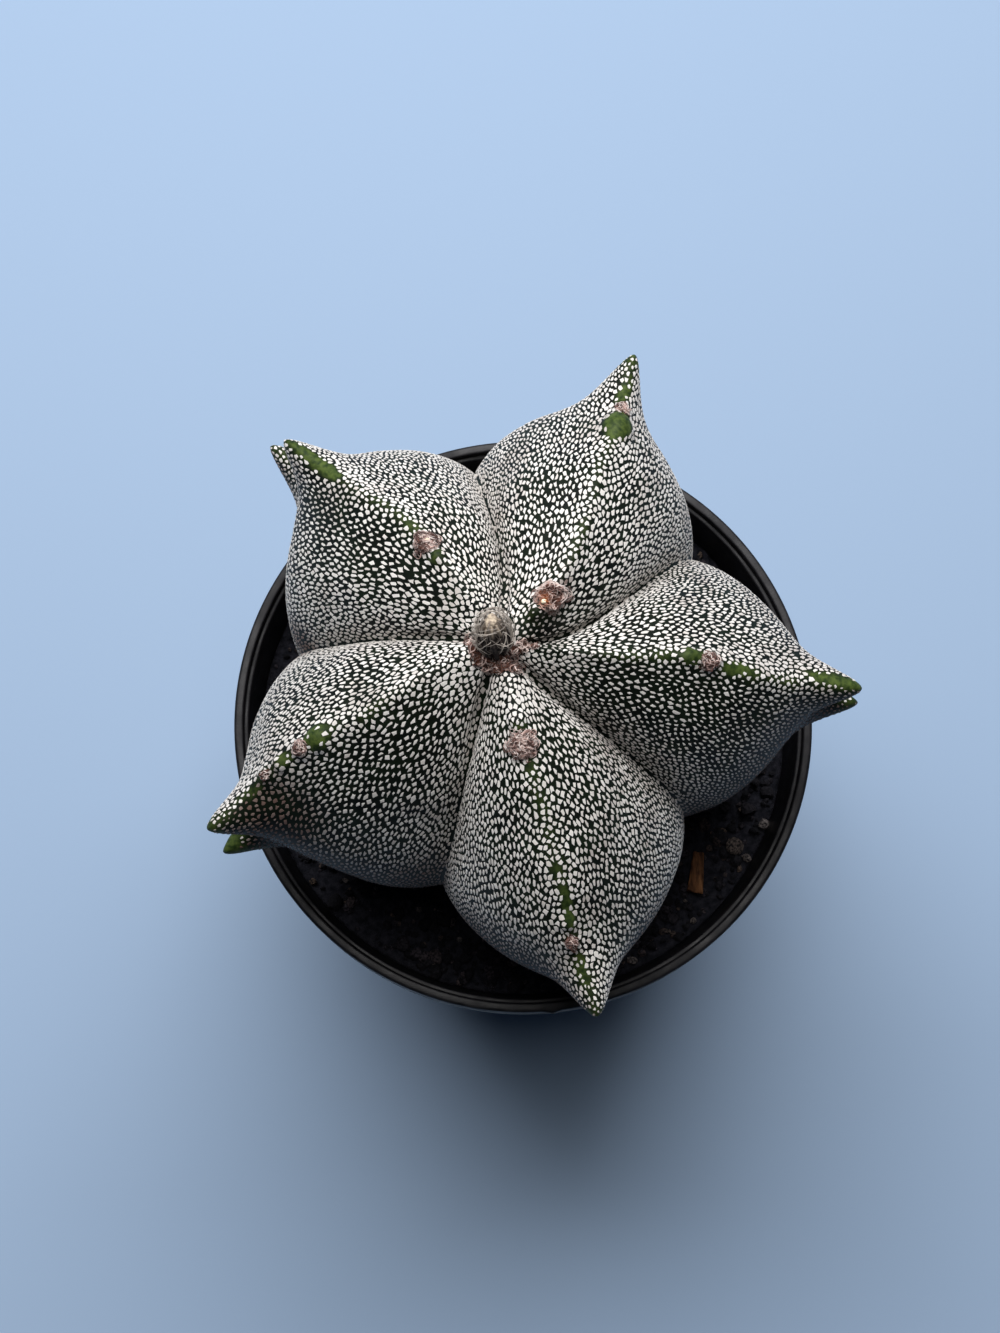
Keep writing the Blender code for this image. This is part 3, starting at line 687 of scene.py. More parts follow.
def closed_shape(grid):
    """Points and faces of a closed form from a grid whose first and last rows are each one point."""
    count = grid.shape[1]
    inner = grid[1:-1].reshape(-1, 3)
    points = np.vstack((inner, grid[0, :1], grid[-1, :1]))
    top, bottom = len(inner), len(inner) + 1
    last = (len(grid) - 3) * count
    faces = grid_faces(0, len(grid) - 3, count)
    faces += [(top, k, (k + 1) % count) for k in range(count)]
    faces += [(bottom, last + (k + 1) % count, last + k) for k in range(count)]
    return points, faces


def joined(shapes):
    """The points and faces of several forms as one."""
    starts = np.cumsum([0] + [len(points) for points, faces in shapes])
    faces = [tuple(k + start for k in face) for (_, own), start in zip(shapes, starts) for face in own]
    return np.concatenate([points for points, faces in shapes]), faces


def keep_values(piece, name, values):
    """Numbers from 0 to 1 at a piece's points, for its finish to read."""
    kept = piece.data.attributes.new(name, "FLOAT", "POINT")
    kept.data.foreach_set("value", np.ascontiguousarray(values, dtype=np.float32))


def cactus_skin():
    """Waxy skin, nearly black-green in the channels and leaf green where the crests are bare."""
    finish, tree, shader = new_finish("waxy_green_skin", 0.55, specular=0.16)
    spot = place_in(tree)
    bare = add(tree, "ShaderNodeAttribute", attribute_name="bare").outputs["Fac"]
    dark = blended(tree, cloud(tree, spot, 3.5), screen_colour(8, 13, 8), screen_colour(18, 28, 15))
    leaf = blended(tree, cloud(tree, spot, 0.7), screen_colour(38, 55, 22), screen_colour(82, 98, 45))
    tree.links.new(blended(tree, bare, dark, leaf), shader.inputs["Base Color"])
    raise_surface(tree, shader, cloud(tree, spot, 0.14, detail=3.0, low=0.2, high=0.8), 0.02, 0.7)
    return finish


plain = plain_body()
skin = grown_skin()
outward = outward_of(skin)
bare = bare_share()
stem = new_piece("ribbed_stem", *closed_shape(skin), cactus_skin())
keep_values(stem, "bare", np.concatenate((bare[1:-1].ravel(), bare[0, :1], bare[-1, :1])))
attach(stem, "root")
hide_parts("cactus")


# Flecks. Tufts of felted white hair, each under a millimetre across, that grow flat on the skin and leave
# dark channels between them. They are broad near the crown, long and thin on the flanks and fine in the
# creases. Each is a low pad rooted in the skin, in the shape that its neighbours leave it.
FLECK_SEED = 20
FLECK_CANDIDATES = 220000
FLECKS_FROM_CROWN = 1.8
FLECKS_BELOW_SOIL = 1.0
CREASE_GAP = 0.14
# How bare the skin may be under a fleck: at least, by chance up to so much more, and at most
GROWS_ON_BARE = 0.2
BY_CHANCE_ON_BARE = 0.9
MOST_ON_BARE = 0.92
# How far flecks lie apart along and across a rib
CROWN_SPACING = (0.56, 0.40)
CREST_SPACING = (0.62, 0.45)
FLANK_SPACING = (0.93, 0.36)
CREASE_SPACING = (0.78, 0.32)
LOW_SPACING = (0.60, 0.34)
TIP_SPACING = (0.60, 0.34)
# Where one spacing gives way to another: at these depths, sides and distances from a spur's tip
CROWN_FADES = (5.0, 14.0)
LOW_STARTS = (46.0, 60.0)
FLANK_STARTS = (0.0, 0.28)
CREASE_STARTS = (0.5, 0.88)
TIP_FADES = (1.6, 5.0)
# Flecks nearer than this many spacings push each other apart, round by round
EVENING_ROUNDS = 4
EVENING_NEIGHBOURS = 9
EVENING_REACH = 1.5
EVENING_NEAREST = 0.2
EVENING_STEP = 0.16
EVENING_LIMIT = 0.35
# A step over the skin is made longer or shorter, round by round, until it has the right length
STEPPING_ROUNDS = 4
STEPPING_LIMITS = (0.4, 2.5)
# The dark channels' widths, where flecks are coarse and where they have little room
CHANNEL = 0.115
FINE_CHANNEL = 0.10
FINE_ROOM = (0.62, 0.30)
CHANNEL_SPREAD = (0.75, 1.3)
CHANNEL_CLOUDS = 5.0
CLOUDED_CHANNEL = 0.8
CREST_CHANNEL = 1.5
CREST_BAND = (0.0, 0.12)
# The flanks with wider channels: the rib, whether it is the flank before the crest, how much wider, how
# much further apart the flecks lie, and where between crest and crease that fades
SPARSE_FLANKS = (
    (EAST, True, 1.7, 1.0, (0.6, 0.95)),
    (WEST, False, 1.2, 1.10, (0.55, 0.9)),
    (NORTH_WEST, False, 1.4, 1.10, (0.25, 0.6)),
    (NORTH, True, 0.0, 1.08, (0.4, 0.7)),
    (NORTH, False, 0.1, 1.06, (0.4, 0.7)),
    (SOUTH, True, 0.2, 1.0, (0.55, 0.9)),
    (SOUTH, False, 0.3, 1.04, (0.4, 0.7)),
)
# The wider channels start this far down the ribs
SPARSE_FROM = (8.0, 14.0)
# Small places with wider channels: where, how far they reach and how much wider. The second, low on the east
# rib's south flank near its crease, shows more dark skin as painted shade.
SPARSE_SPOTS = (((2.5, 3.9, 108.0), 3.4, 2.2), ((19.0, -9.0, 80.0), 8.0, 1.6))
SPARSE_SPOT_EDGE = (0.6, 1.2)
# The flank under the western tip, which is stained brown and sparse: where, and how far it reaches. Only its
# part that faces away from the window gets it, so it is partly real stain and partly painted shade.
BROWN_FLANK = ((-29.5, -13.5, 91.5), 9.5)
BROWN_EDGE = (0.5, 1.2)
BROWN_FACING = (0.0, 0.3)
# Painted shade: low on the side away from the window, from this far down the ribs, the flecks are made dull
# and thin so that the dark skin shows
PAINTED_SHADE_FROM = (32.0, 47.0)
PAINTED_SHADE_FACING = (0.2, 0.7)
SHADE_AND_BROWN_CHANNEL = 1.7
# Where flecks lie far apart along the rib, they are narrower than their room and pointed
STRETCHED = (1.4, 2.4)
NARROWED = 0.10
POINTED = 0.32
SMALL_ON_GREEN = 0.45
# A fleck's outline is what its neighbours leave it, a little rounded and then ragged and notched
FLECK_CORNERS = 6
FLECK_NEIGHBOURS = 14
FLECK_REACH = 0.85
LEAST_FLECK = 0.08
LEAST_FACING = 0.02
SPACING_SPREAD = (0.88, 1.12)
ROUNDED = 0.1
RAGGED_EDGE = 0.19
NOTCHED_SHARE = 0.50
NOTCH = (0.4, 0.8)
# Its root lies under the skin, and its shoulder and its top, which is off its middle, over it
FLECK_ROOT = -0.10
FLECK_SHOULDER = 0.045
FLECK_TOP = 0.06
SHOULDER_INSET = 0.95
TOP_OFF_MIDDLE = 0.03
# The felt is greyer with age low on the plant, and greyer towards the creases
AGE = (0.12, 0.12)
LOW_AGE = 0.55
LOW_AGE_FROM = (44.0, 66.0)
CREASE_GREYING = 0.35
CREASE_GREYING_FROM = (0.75, 1.0)
# It is stained brown low on the plant and in clouds, and browned as painted shade low on the side away from
# the window and on the brown flank
LOW_STAIN = 0.45
LOW_STAIN_FROM = (50.0, 74.0)
CLOUDY_STAIN = 0.25
CLOUDY_STAIN_FROM = (0.1, 0.5)
STAIN_CLOUDS = 6.0
SHADE_AND_BROWN_STAIN = 0.95
STAIN_SPREAD = 0.05
# The places where it is stained most: where, how far the stain reaches, and its strength. The fourth, low on
# the east rib's south flank near its crease, is painted shade.
STAINS_AND_SHADE = (((5.0, 8.2, 108.3), 1.5, 0.9), ((-24.5, 7.5, 85.0), 4.5, 1.0), ((-14.0, -19.0, 84.0), 7.0, 0.9),
          ((19.0, -9.0, 80.0), 8.5, 0.8), ((2.5, 3.9, 108.0), 2.6, 0.4))
STAIN_EDGE = (0.5, 1.3)


def between(grid, column, row):
    """What a grid over the skin holds between its own points."""
    left, above = np.floor(column).astype(int), np.clip(np.floor(row).astype(int), 0, rows - 1)
    across, down = (column - left)[..., None], (row - above)[..., None]
    left, right = left % columns, (left + 1) % columns
    high = grid[above, left] * (1.0 - across) + grid[above, right] * across
    low = grid[above + 1, left] * (1.0 - across) + grid[above + 1, right] * across
    return high * (1.0 - down) + low * down


def unit(directions):
    """The same directions, each with a length of 1."""
    return directions / np.linalg.norm(directions, axis=-1, keepdims=True)


def fleck_spacings():
    """How far flecks lie apart along and across the ribs, at each point of the skin's grid."""
    share = np.abs(side)[None, :]
    crown = 1.0 - smooth_step(*CROWN_FADES, depths)[:, None]
    low = smooth_step(*LOW_STARTS, depths)[:, None]
    flank = smooth_step(*FLANK_STARTS, share)
    crease = smooth_step(*CREASE_STARTS, share)
    tip = np.zeros((rows + 1, columns))
    for k, rib in enumerate(RIBS):
        mine = np.flatnonzero(column_rib == k)
        for depth, _, _ in rib.spurs[:2]:
            (root,), _ = crest_line(rib, np.array((depth,)))
            near = 1.0 - smooth_step(*TIP_FADES, np.linalg.norm(plain[:, mine] - root, axis=-1))
            tip[:, mine] = np.maximum(tip[:, mine], near)
    spacings = np.zeros((rows + 1, columns, 2))
    for k in range(2):
        value = CREST_SPACING[k] + (FLANK_SPACING[k] - CREST_SPACING[k]) * flank
        value = value + (CREASE_SPACING[k] - value) * crease
        value = value + (CROWN_SPACING[k] - value) * crown * (1.0 - crease)
        value = value + (LOW_SPACING[k] - value) * low
        spacings[..., k] = value + (TIP_SPACING[k] - value) * tip
    for rib, before, _, apart, _ in SPARSE_FLANKS:
        spacings[:, (column_rib == rib) & ((side < 0.0) == before)] *= apart
    return spacings


class Field:
    """The skin's place, outward direction, and directions down and round the ribs, at chosen points."""

    def __init__(self, column, row):
        self.column, self.row = column, row
        self.place = between(skin, column, row)
        self.outward = unit(between(outward, column, row))
        self.per_row = between(np.gradient(skin, axis=0), column, row)
        self.per_column = between((np.roll(skin, -1, axis=1) - np.roll(skin, 1, axis=1)) / 2.0, column, row)
        self.down = unit(self.per_row - self.outward * along_rows(self.per_row, self.outward))
        self.across = np.cross(self.outward, self.down)
        self.spacing = between(spacings, column, row)

    def taken(self, chosen):
        """The chosen ones of these points."""
        return Field(self.column[chosen], self.row[chosen])


def tree_of(points):
    """The points in a tree that finds the ones near a place."""
    tree = kdtree.KDTree(len(points))
    for k, point in enumerate(points):
        tree.insert(point, k)
    tree.balance()
    return tree


def nearest(points, count):
    """For each point, which others are nearest to it."""
    tree = tree_of(points)
    return np.array([[found[1] for found in tree.find_n(point, count + 1)][1:] for point in points])


def strewn_flecks(rng):
    """Where flecks grow: strewn evenly, no two nearer to each other than their spacing there."""
    per_column = np.roll(skin, -1, axis=1)[:-1] - skin[:-1]
    per_row = skin[1:] - skin[:-1]
    area = np.linalg.norm(np.cross(per_column, per_row), axis=-1)
    crowding = area / spacings[:-1].prod(axis=-1)
    grown = (depths[:-1] >= FLECKS_FROM_CROWN) & (depths[:-1] <= soil_depth + FLECKS_BELOW_SOIL)
    crowding = crowding * grown[:, None]
    cells = rng.choice(crowding.size, FLECK_CANDIDATES, p=crowding.ravel() / crowding.sum())
    field = Field(cells % columns + rng.random(cells.size), cells // columns + rng.random(cells.size))
    own_spacing = field.spacing * rng.uniform(*SPACING_SPREAD, (cells.size, 1))
    tree = tree_of(field.place)
    free = np.ones(cells.size, bool)
    kept = []
    for k, point in enumerate(field.place):
        if not free[k]:
            continue
        kept.append(k)
        near = np.array([found[1] for found in tree.find_range(point, own_spacing[k].max())])
        away = field.place[near] - point
        down, across = away @ field.down[k] / own_spacing[k, 0], away @ field.across[k] / own_spacing[k, 1]
        lifted = away @ field.outward[k] / own_spacing[k, 1]
        free[near[down ** 2 + across ** 2 + lifted ** 2 < 1.0]] = False
    return field.taken(np.array(kept))


def stepped(field, offset):
    """The rows and columns that lie at offsets, down and across the rib, from each fleck's middle."""
    step = offset[..., 0:1] * field.down[:, None] + offset[..., 1:2] * field.across[:, None]
    per_row, per_column = field.per_row[:, None], field.per_column[:, None]
    rr, cc = along_rows(per_row, per_row), along_rows(per_column, per_column)
    rc = along_rows(per_row, per_column)
    r, c = along_rows(step, per_row), along_rows(step, per_column)
    spread = rr * cc - rc * rc
    row_step, column_step = ((r * cc - c * rc) / spread)[..., 0], ((c * rr - r * rc) / spread)[..., 0]
    reach = np.linalg.norm(offset, axis=-1)
    stretch = np.ones_like(reach)
    for _ in range(STEPPING_ROUNDS):
        row = np.clip(field.row[:, None] + row_step * stretch, 0.0, rows - 0.001)
        column = field.column[:, None] + column_step * stretch
        chord = np.linalg.norm(between(skin, column, row) - field.place[:, None], axis=-1)
        stretch *= np.clip(reach / np.maximum(chord, 1e-6), *STEPPING_LIMITS)
    return row, column


def evened(field):
    """The flecks after they have pushed each other into an even spread, as growing skin does."""
    for _ in range(EVENING_ROUNDS):
        near = nearest(field.place, EVENING_NEIGHBOURS)
        away = field.place[near] - field.place[:, None]
        down = along_rows(away, field.down[:, None])[..., 0]
        across = along_rows(away, field.across[:, None])[..., 0]
        unfolded = np.linalg.norm(away, axis=-1) / np.hypot(down, across)
        down = down * unfolded / field.spacing[:, None, 0]
        across = across * unfolded / field.spacing[:, None, 1]
        distance = np.hypot(down, across)
        push = -np.maximum(0.0, EVENING_REACH - distance) / np.maximum(distance, EVENING_NEAREST)
        moves = np.stack(((down * push).sum(axis=1), (across * push).sum(axis=1)), axis=-1)
        moves = np.clip(moves * EVENING_STEP, -EVENING_LIMIT, EVENING_LIMIT) * field.spacing
        row, column = stepped(field, moves[:, None])
        field = Field(column[:, 0] % columns, row[:, 0])
    return field


def side_at(column):
    """How far from the crest a column lies, from 0 on it to 1 in the creases."""
    place = (column % COLUMNS_A_RIB - half) / half
    return np.abs(place) ** COLUMN_CROWDING


def rib_at(column):
    """Which rib a column lies on."""
    return (np.floor(column).astype(int) // COLUMNS_A_RIB) % len(RIBS)


def depth_at(field):
    """How far each fleck lies from the crown, measured along the crests."""
    return np.interp(field.row, np.arange(rows + 1), depths)


def bare_at(field):
    """How bare and green the skin is round each fleck."""
    return between(bare[..., None], field.column, field.row)[:, 0]


def grown_on_skin(field, rng):
    """The flecks that are left where the skin isn't bare and no crease is too near."""
    share = bare_at(field)
    from_crest = np.linalg.norm(field.per_column, axis=-1) * half
    near_crease = (1.0 - side_at(field.column)) * from_crest < CREASE_GAP
    may_be = np.minimum(GROWS_ON_BARE + BY_CHANCE_ON_BARE * rng.random(len(share)), MOST_ON_BARE)
    return field.taken(~near_crease & (share < may_be))


def shade_and_brown_at(field):
    """From 0 to 1, how much painted shade each fleck gets: low on the side away from the window, and on the
    brown flank, which is also stained.
    """
    low = smooth_step(*PAINTED_SHADE_FACING, -field.outward[:, 1]) * smooth_step(*PAINTED_SHADE_FROM, depth_at(field))
    centre, reach = BROWN_FLANK
    near = 1.0 - smooth_step(*BROWN_EDGE, np.linalg.norm(field.place - centre, axis=-1) / reach)
    return np.maximum(low, near * smooth_step(*BROWN_FACING, -field.outward[:, 1]))


def sparse_at(field):
    """How much wider the channels are where the plant is barer, and where shade is painted by letting the
    dark skin show.
    """
    rib = rib_at(field.column)
    share = side_at(field.column)
    before = (field.column % COLUMNS_A_RIB) < half
    wider = np.zeros(len(share))
    for sparse_rib, is_before, more, _, fades in SPARSE_FLANKS:
        here = more * (1.0 - smooth_step(*fades, share))
        wider = np.where((rib == sparse_rib) & (before == is_before), here, wider)
    wider *= smooth_step(*CREST_BAND, share) * smooth_step(*SPARSE_FROM, depth_at(field))
    for centre, reach, more in SPARSE_SPOTS:
        away = np.linalg.norm(field.place - centre, axis=-1)
        wider = np.maximum(wider, more * (1.0 - smooth_step(*SPARSE_SPOT_EDGE, away / reach)))
    # Painted shade: the channels widen low on the side away from the window and on the brown flank
    return np.maximum(wider, SHADE_AND_BROWN_CHANNEL * shade_and_brown_at(field))


def fleck_outlines(field, rng):
    """Each fleck's corners, in millimetres down and across from its middle."""
    count = len(field.place)
    near = nearest(field.place, FLECK_NEIGHBOURS)
    away = field.place[near] - field.place[:, None]
    distance = np.linalg.norm(away, axis=-1)
    down, across = along_rows(away, field.down[:, None]), along_rows(away, field.across[:, None])
    flat = unit(np.concatenate((down, across), axis=-1))
    turn = rng.random(count)[:, None] + np.arange(FLECK_CORNERS)
    turn = turn * math.tau / FLECK_CORNERS
    reach = np.stack((np.cos(turn), np.sin(turn)), axis=-1) * field.spacing[:, None] * FLECK_REACH
    most = np.linalg.norm(reach, axis=-1)
    aim = reach / most[..., None]
    fine = smooth_step(*FINE_ROOM, field.spacing.prod(axis=-1))
    clouds = np.array([noise.noise(Vector(point) / CHANNEL_CLOUDS) for point in field.place])
    channel = (CHANNEL + (FINE_CHANNEL - CHANNEL) * fine) * rng.uniform(*CHANNEL_SPREAD, count)
    channel *= CREST_CHANNEL + (1.0 - CREST_CHANNEL) * smooth_step(*CREST_BAND, side_at(field.column))
    channel *= 1.0 + CLOUDED_CHANNEL * np.maximum(0.0, clouds) + sparse_at(field)
    facing = np.einsum("fcx,fnx->fcn", aim, flat)
    room = (0.5 * (distance - channel[:, None]))[:, None] / np.maximum(facing, LEAST_FACING)
    radius = np.minimum(np.where(facing > LEAST_FACING, room, np.inf).min(axis=-1), most)
    beside = np.roll(radius, 1, axis=1) + np.roll(radius, -1, axis=1)
    radius = (1.0 - 2.0 * ROUNDED) * radius + ROUNDED * beside
    radius = np.maximum(radius, LEAST_FLECK) * rng.normal(1.0, RAGGED_EDGE, radius.shape)
    notched = np.flatnonzero(rng.random(count) < NOTCHED_SHARE)
    radius[notched, rng.integers(0, FLECK_CORNERS, len(notched))] *= rng.uniform(*NOTCH, len(notched))
    radius *= 1.0 - SMALL_ON_GREEN * bare_at(field)[:, None]
    outlines = aim * radius[..., None]
    stretched = smooth_step(*STRETCHED, field.spacing[:, :1] / field.spacing[:, 1:])
    lengthwise = np.abs(outlines[..., 0])
    lengthwise /= lengthwise.max(axis=1, keepdims=True)
    outlines[..., 1] *= 1.0 - stretched * (NARROWED + POINTED * lengthwise ** 2)
    return outlines


def on_skin(field, offset, lift):
    """Points at offsets down and across from each fleck's middle, lifted off the skin."""
    row, column = stepped(field, offset)
    return between(skin, column, row) + unit(between(outward, column, row)) * lift


def fleck_faces(count):
    """Faces of the flecks: walls, a fan over the top and a flat root."""
    n = FLECK_CORNERS
    start = np.arange(count)[:, None] * (2 * n + 1)
    here, there = np.arange(n), (np.arange(n) + 1) % n
    walls = np.stack((start + here, start + n + here, start + n + there, start + there), axis=-1)
    fans = np.broadcast_arrays(start + n + here, start + 2 * n, start + n + there)
    tops = np.stack(fans, axis=-1)
    roots = start + here
    return walls.reshape(-1, 4).tolist() + tops.reshape(-1, 3).tolist() + roots.tolist()


def white_felt():
    """Felted white hair: matt and soft, a little warm, greyer and browner where it is old or stained, and
    browner where shade is painted on it.
    """
    finish, tree, shader = new_finish("white_felt", 0.95, specular=0.15)
    shader.inputs["Sheen Weight"].default_value = 0.12
    shader.inputs["Sheen Roughness"].default_value = 0.6
    age = add(tree, "ShaderNodeAttribute", attribute_name="age").outputs["Fac"]
    stain_and_shade = add(tree, "ShaderNodeAttribute", attribute_name="stain_and_shade").outputs["Fac"]
    clean = blended(tree, age, screen_colour(244, 240, 234), screen_colour(196, 186, 176))
    # The brown is real stain in places and painted shade where the stain value carries the shaded side
    felt = blended(tree, stain_and_shade, clean, screen_colour(112, 86, 76))
    tree.links.new(felt, shader.inputs["Base Color"])
    spot = place_in(tree)
    raise_surface(tree, shader, cloud(tree, spot, 0.07, detail=2.0, low=0.3, high=0.7), 0.03, 0.8)
    return finish


def fleck_piece(name, field, finish, rng):
    """All the flecks of one rib."""
    outlines = fleck_outlines(field, rng)
    roots = on_skin(field, outlines, FLECK_ROOT)
    shoulders = on_skin(field, outlines * SHOULDER_INSET, FLECK_SHOULDER)
    shift = rng.normal(0.0, TOP_OFF_MIDDLE, (len(outlines), 1, 2))
    tops = on_skin(field, outlines.mean(axis=1, keepdims=True) + shift, FLECK_TOP)
    points = np.concatenate((roots, shoulders, tops), axis=1)
    piece = new_piece(name, points.reshape(-1, 3), fleck_faces(len(points)), finish, smooth=False)
    corners = points.shape[1]
    depth, share = depth_at(field), side_at(field.column)
    old = LOW_AGE * smooth_step(*LOW_AGE_FROM, depth) + CREASE_GREYING * smooth_step(*CREASE_GREYING_FROM, share)
    age = np.clip(old + rng.normal(*AGE, len(depth)), 0.0, 1.0)
    keep_values(piece, "age", np.repeat(age, corners))
    cloudy = np.array([noise.noise(Vector(point) / STAIN_CLOUDS) for point in field.place])
    stained = LOW_STAIN * smooth_step(*LOW_STAIN_FROM, depth)
    stained = stained + CLOUDY_STAIN * smooth_step(*CLOUDY_STAIN_FROM, cloudy)
    # Painted shade: flecks low on the side away from the window, and on the brown flank, are browned
    stained = np.maximum(stained, SHADE_AND_BROWN_STAIN * shade_and_brown_at(field))
    for centre, reach, strength in STAINS_AND_SHADE:
        away = np.linalg.norm(field.place - centre, axis=-1)
        stained = np.maximum(stained, strength * (1.0 - smooth_step(*STAIN_EDGE, away / reach)))
    stain_and_shade = np.clip(stained + rng.normal(0.0, STAIN_SPREAD, len(depth)), 0.0, 1.0)
    keep_values(piece, "stain_and_shade", np.repeat(stain_and_shade, corners))
    return piece


spacings = fleck_spacings()
fleck_rng = np.random.default_rng(FLECK_SEED)
flecks = grown_on_skin(evened(strewn_flecks(fleck_rng)), fleck_rng)
felt = white_felt()
for k, name in enumerate(("east", "north", "north_west", "west", "south")):
    mine = rib_at(flecks.column) == k
    piece = fleck_piece("flecks_" + name, flecks.taken(mine), felt, fleck_rng)
    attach(piece, "root")


# Areoles. The cushions of hair on the crests, where other cacti have their spines. Each is a felted pad
# rooted in the skin under loose curls, brown inside and paler at its tips. The one beside the crown has
# dropped its flower, which left a crater with a cream scar.

# Each cushion has its rib, its distance from the crown, its place across the crest, its radii down and
# across the rib, its height, how many hairs it has, what share of them is pale, and whether it is a crater.
Cushion = namedtuple("Cushion", "rib depth aside along across height hairs pale crater")
CUSHIONS = (
    Cushion(NORTH, 7.8, -0.1, 1.6, 1.5, 0.7, 360, 0.85, True),
    Cushion(NORTH, 35.8, 0.0, 0.8, 0.8, 0.2, 75, 0.6, False),
    Cushion(EAST, 23.6, -0.1, 1.05, 0.85, 0.15, 110, 0.45, False),
    Cushion(NORTH_WEST, 15.2, 0.0, 1.4, 1.3, 0.15, 210, 0.38, False),
    Cushion(WEST, 27.8, 0.0, 0.9, 0.8, 0.2, 90, 0.6, False),
    Cushion(WEST, 34.0, 0.1, 0.7, 0.45, 0.15, 40, 0.4, False),
    Cushion(SOUTH, 11.8, 0.0, 1.55, 1.5, 0.1, 260, 0.55, False),
    Cushion(SOUTH, 35.4, 0.0, 0.8, 0.65, 0.15, 60, 0.4, False),
)
CUSHION_SEED = 8
# The felt's grid over the cushion's disc, its ragged outline and its lumps, each with a size and a height
FELT_RINGS = (0.1, 0.2, 0.3, 0.4, 0.5, 0.6, 0.7, 0.8, 0.88, 0.95, 1.0, 1.04)
FELT_SPOKES = 48
FELT_RAGGED = 0.28
FELT_RAGGED_TURN = 1.4
FELT_LUMPS = ((0.55, 0.30), (0.22, 0.35))
FELT_ROOT = -0.18
FELT_TONES = (0.05, 0.3)
CRATER_RING = 0.74
CRATER_RING_WIDTH = 0.22
CRATER_FLOOR = 0.08
CRATER_ENDS = (1.1, 0.85)
# The crater's outline runs out into a tail: its direction from the rib's, and its length and width
TAIL_TURN = math.radians(-40.0)
TAIL_LENGTH = 0.45
TAIL_WIDTH = 0.4
# The felt ends a little inside the cushion, so that the curls' ends make its edge
FELT_REACH = 0.86
# Cushions are laid on the skin from this far outside it, square to this length of the crest
LAID_FROM = 5.0
LAID_ALONG = 1.5
# Hairs are three-sided and thinner at their ends. Their corners are set out from a direction that none
# of them runs in.
HAIR_SIDES = 3
HAIR_END = 0.35
HAIR_SPAN = (0.12, 0.88)
HAIR_FULLNESS = 0.6
NO_HAIRS_WAY = (0.31, 0.52, 0.79)
# The tones of pale hairs and of brown ones
PALE_TONES = (0.55, 1.0)
DARKEST_BROWN = 0.03
PALEST_BROWN = 0.4
# Curls: their steps as shares of the cushion, how they turn, their thickness, how high they arch off the
# felt, and how far from the middle they stay
CURL_POINTS = 7
CURL_STEP = 0.27
CURL_WANDER = 0.7
CURL_UNREST = 0.35
CURL_THICKNESS = (0.035, 0.070)
CURL_ARCH = (0.03, 0.40)
CURL_LIFT = 0.02
CURL_LIMITS = (0.75, 1.35)
# A cushion's hair is paler in patches and where it arches high, and darker on the crater's floor
PALE_PATCHES = 0.9
PALE_PATCH_SIZE = 0.9
PALE_ARCHES = 0.8
MEAN_ARCH = 0.18
DARK_FLOOR = 0.8
DARK_FLOOR_ENDS = (0.45, 0.72)
# The cream scar in the crater: its place down and across the rib from the middle, its height over the skin,
# the room that the hair leaves it, and its size. A smaller one lies on the cushion of the next rib.
SCAR = (-0.72, 0.07)
SCAR_LIFT = 0.55
SCAR_CLEAR = 0.42
SCAR_SIZE = 0.34
SMALL_SCAR = (-0.15, -0.19)
SMALL_SCAR_LIFT = 0.3
SMALL_SCAR_SIZE = 0.3
SCAR_SHAPE = (1.0, 0.8, 0.7)
KNOBBLE_CROWDING = 1.7
AMBER = 0.9
AMBER_REACH = 0.82

skin_hull = BVHTree.FromPolygons([tuple(vertex.co / MM) for vertex in stem.data.vertices],
                                 [tuple(face.vertices) for face in stem.data.polygons])


def cushion_profile(share, crater):
    """How high a cushion stands, from 0 to 1, between its middle and its edge."""
    dome = np.sqrt(np.maximum(0.0, 1.0 - share ** 4))
    if not crater:
        return dome
    ring = np.exp(-(((share - CRATER_RING) / CRATER_RING_WIDTH) ** 2)) * smooth_step(*CRATER_ENDS, share)
    return np.maximum(CRATER_FLOOR * dome, ring)


def cushion_points(cushion, spots, lift):
    """Points over a cushion's disc, laid on the skin and lifted off it."""
    line, angle = crest_line(RIBS[cushion.rib], cushion.depth + np.array((-LAID_ALONG, 0.0, LAID_ALONG)))
    down = unit(line[2] - line[0])
    across = level(angle[1:2] + 0.5 * np.pi)[0]
    across = unit(across - down * (across @ down))
    out = np.cross(down, across)
    turn = np.arctan2(spots[..., 1], spots[..., 0])
    round_rim = (FELT_RAGGED_TURN * np.cos(turn), FELT_RAGGED_TURN * np.sin(turn))
    rim = np.stack((*round_rim, np.full(turn.shape, cushion.depth)), axis=-1)
    ragged = np.array([noise.noise(Vector(point)) for point in rim.reshape(-1, 3)]).reshape(turn.shape)
    reach = 1.0 + FELT_RAGGED * ragged
    if cushion.crater:
        aside = (turn - TAIL_TURN + np.pi) % math.tau - np.pi
        reach = reach + TAIL_LENGTH * np.exp(-((aside / TAIL_WIDTH) ** 2))
    offset = spots * reach[..., None] * (cushion.along, cushion.across) + (0.0, cushion.aside)
    starts = line[1] + offset.reshape(-1, 2) @ np.stack((down, across)) + LAID_FROM * out
    points = []
    for start, rise in zip(starts, np.ravel(lift)):
        place, normal, _, _ = skin_hull.ray_cast(Vector(start), Vector(-out))
        points.append(place + (normal + Vector(out)).normalized() * rise)
    return np.array(points).reshape(*spots.shape[:-1], 3)


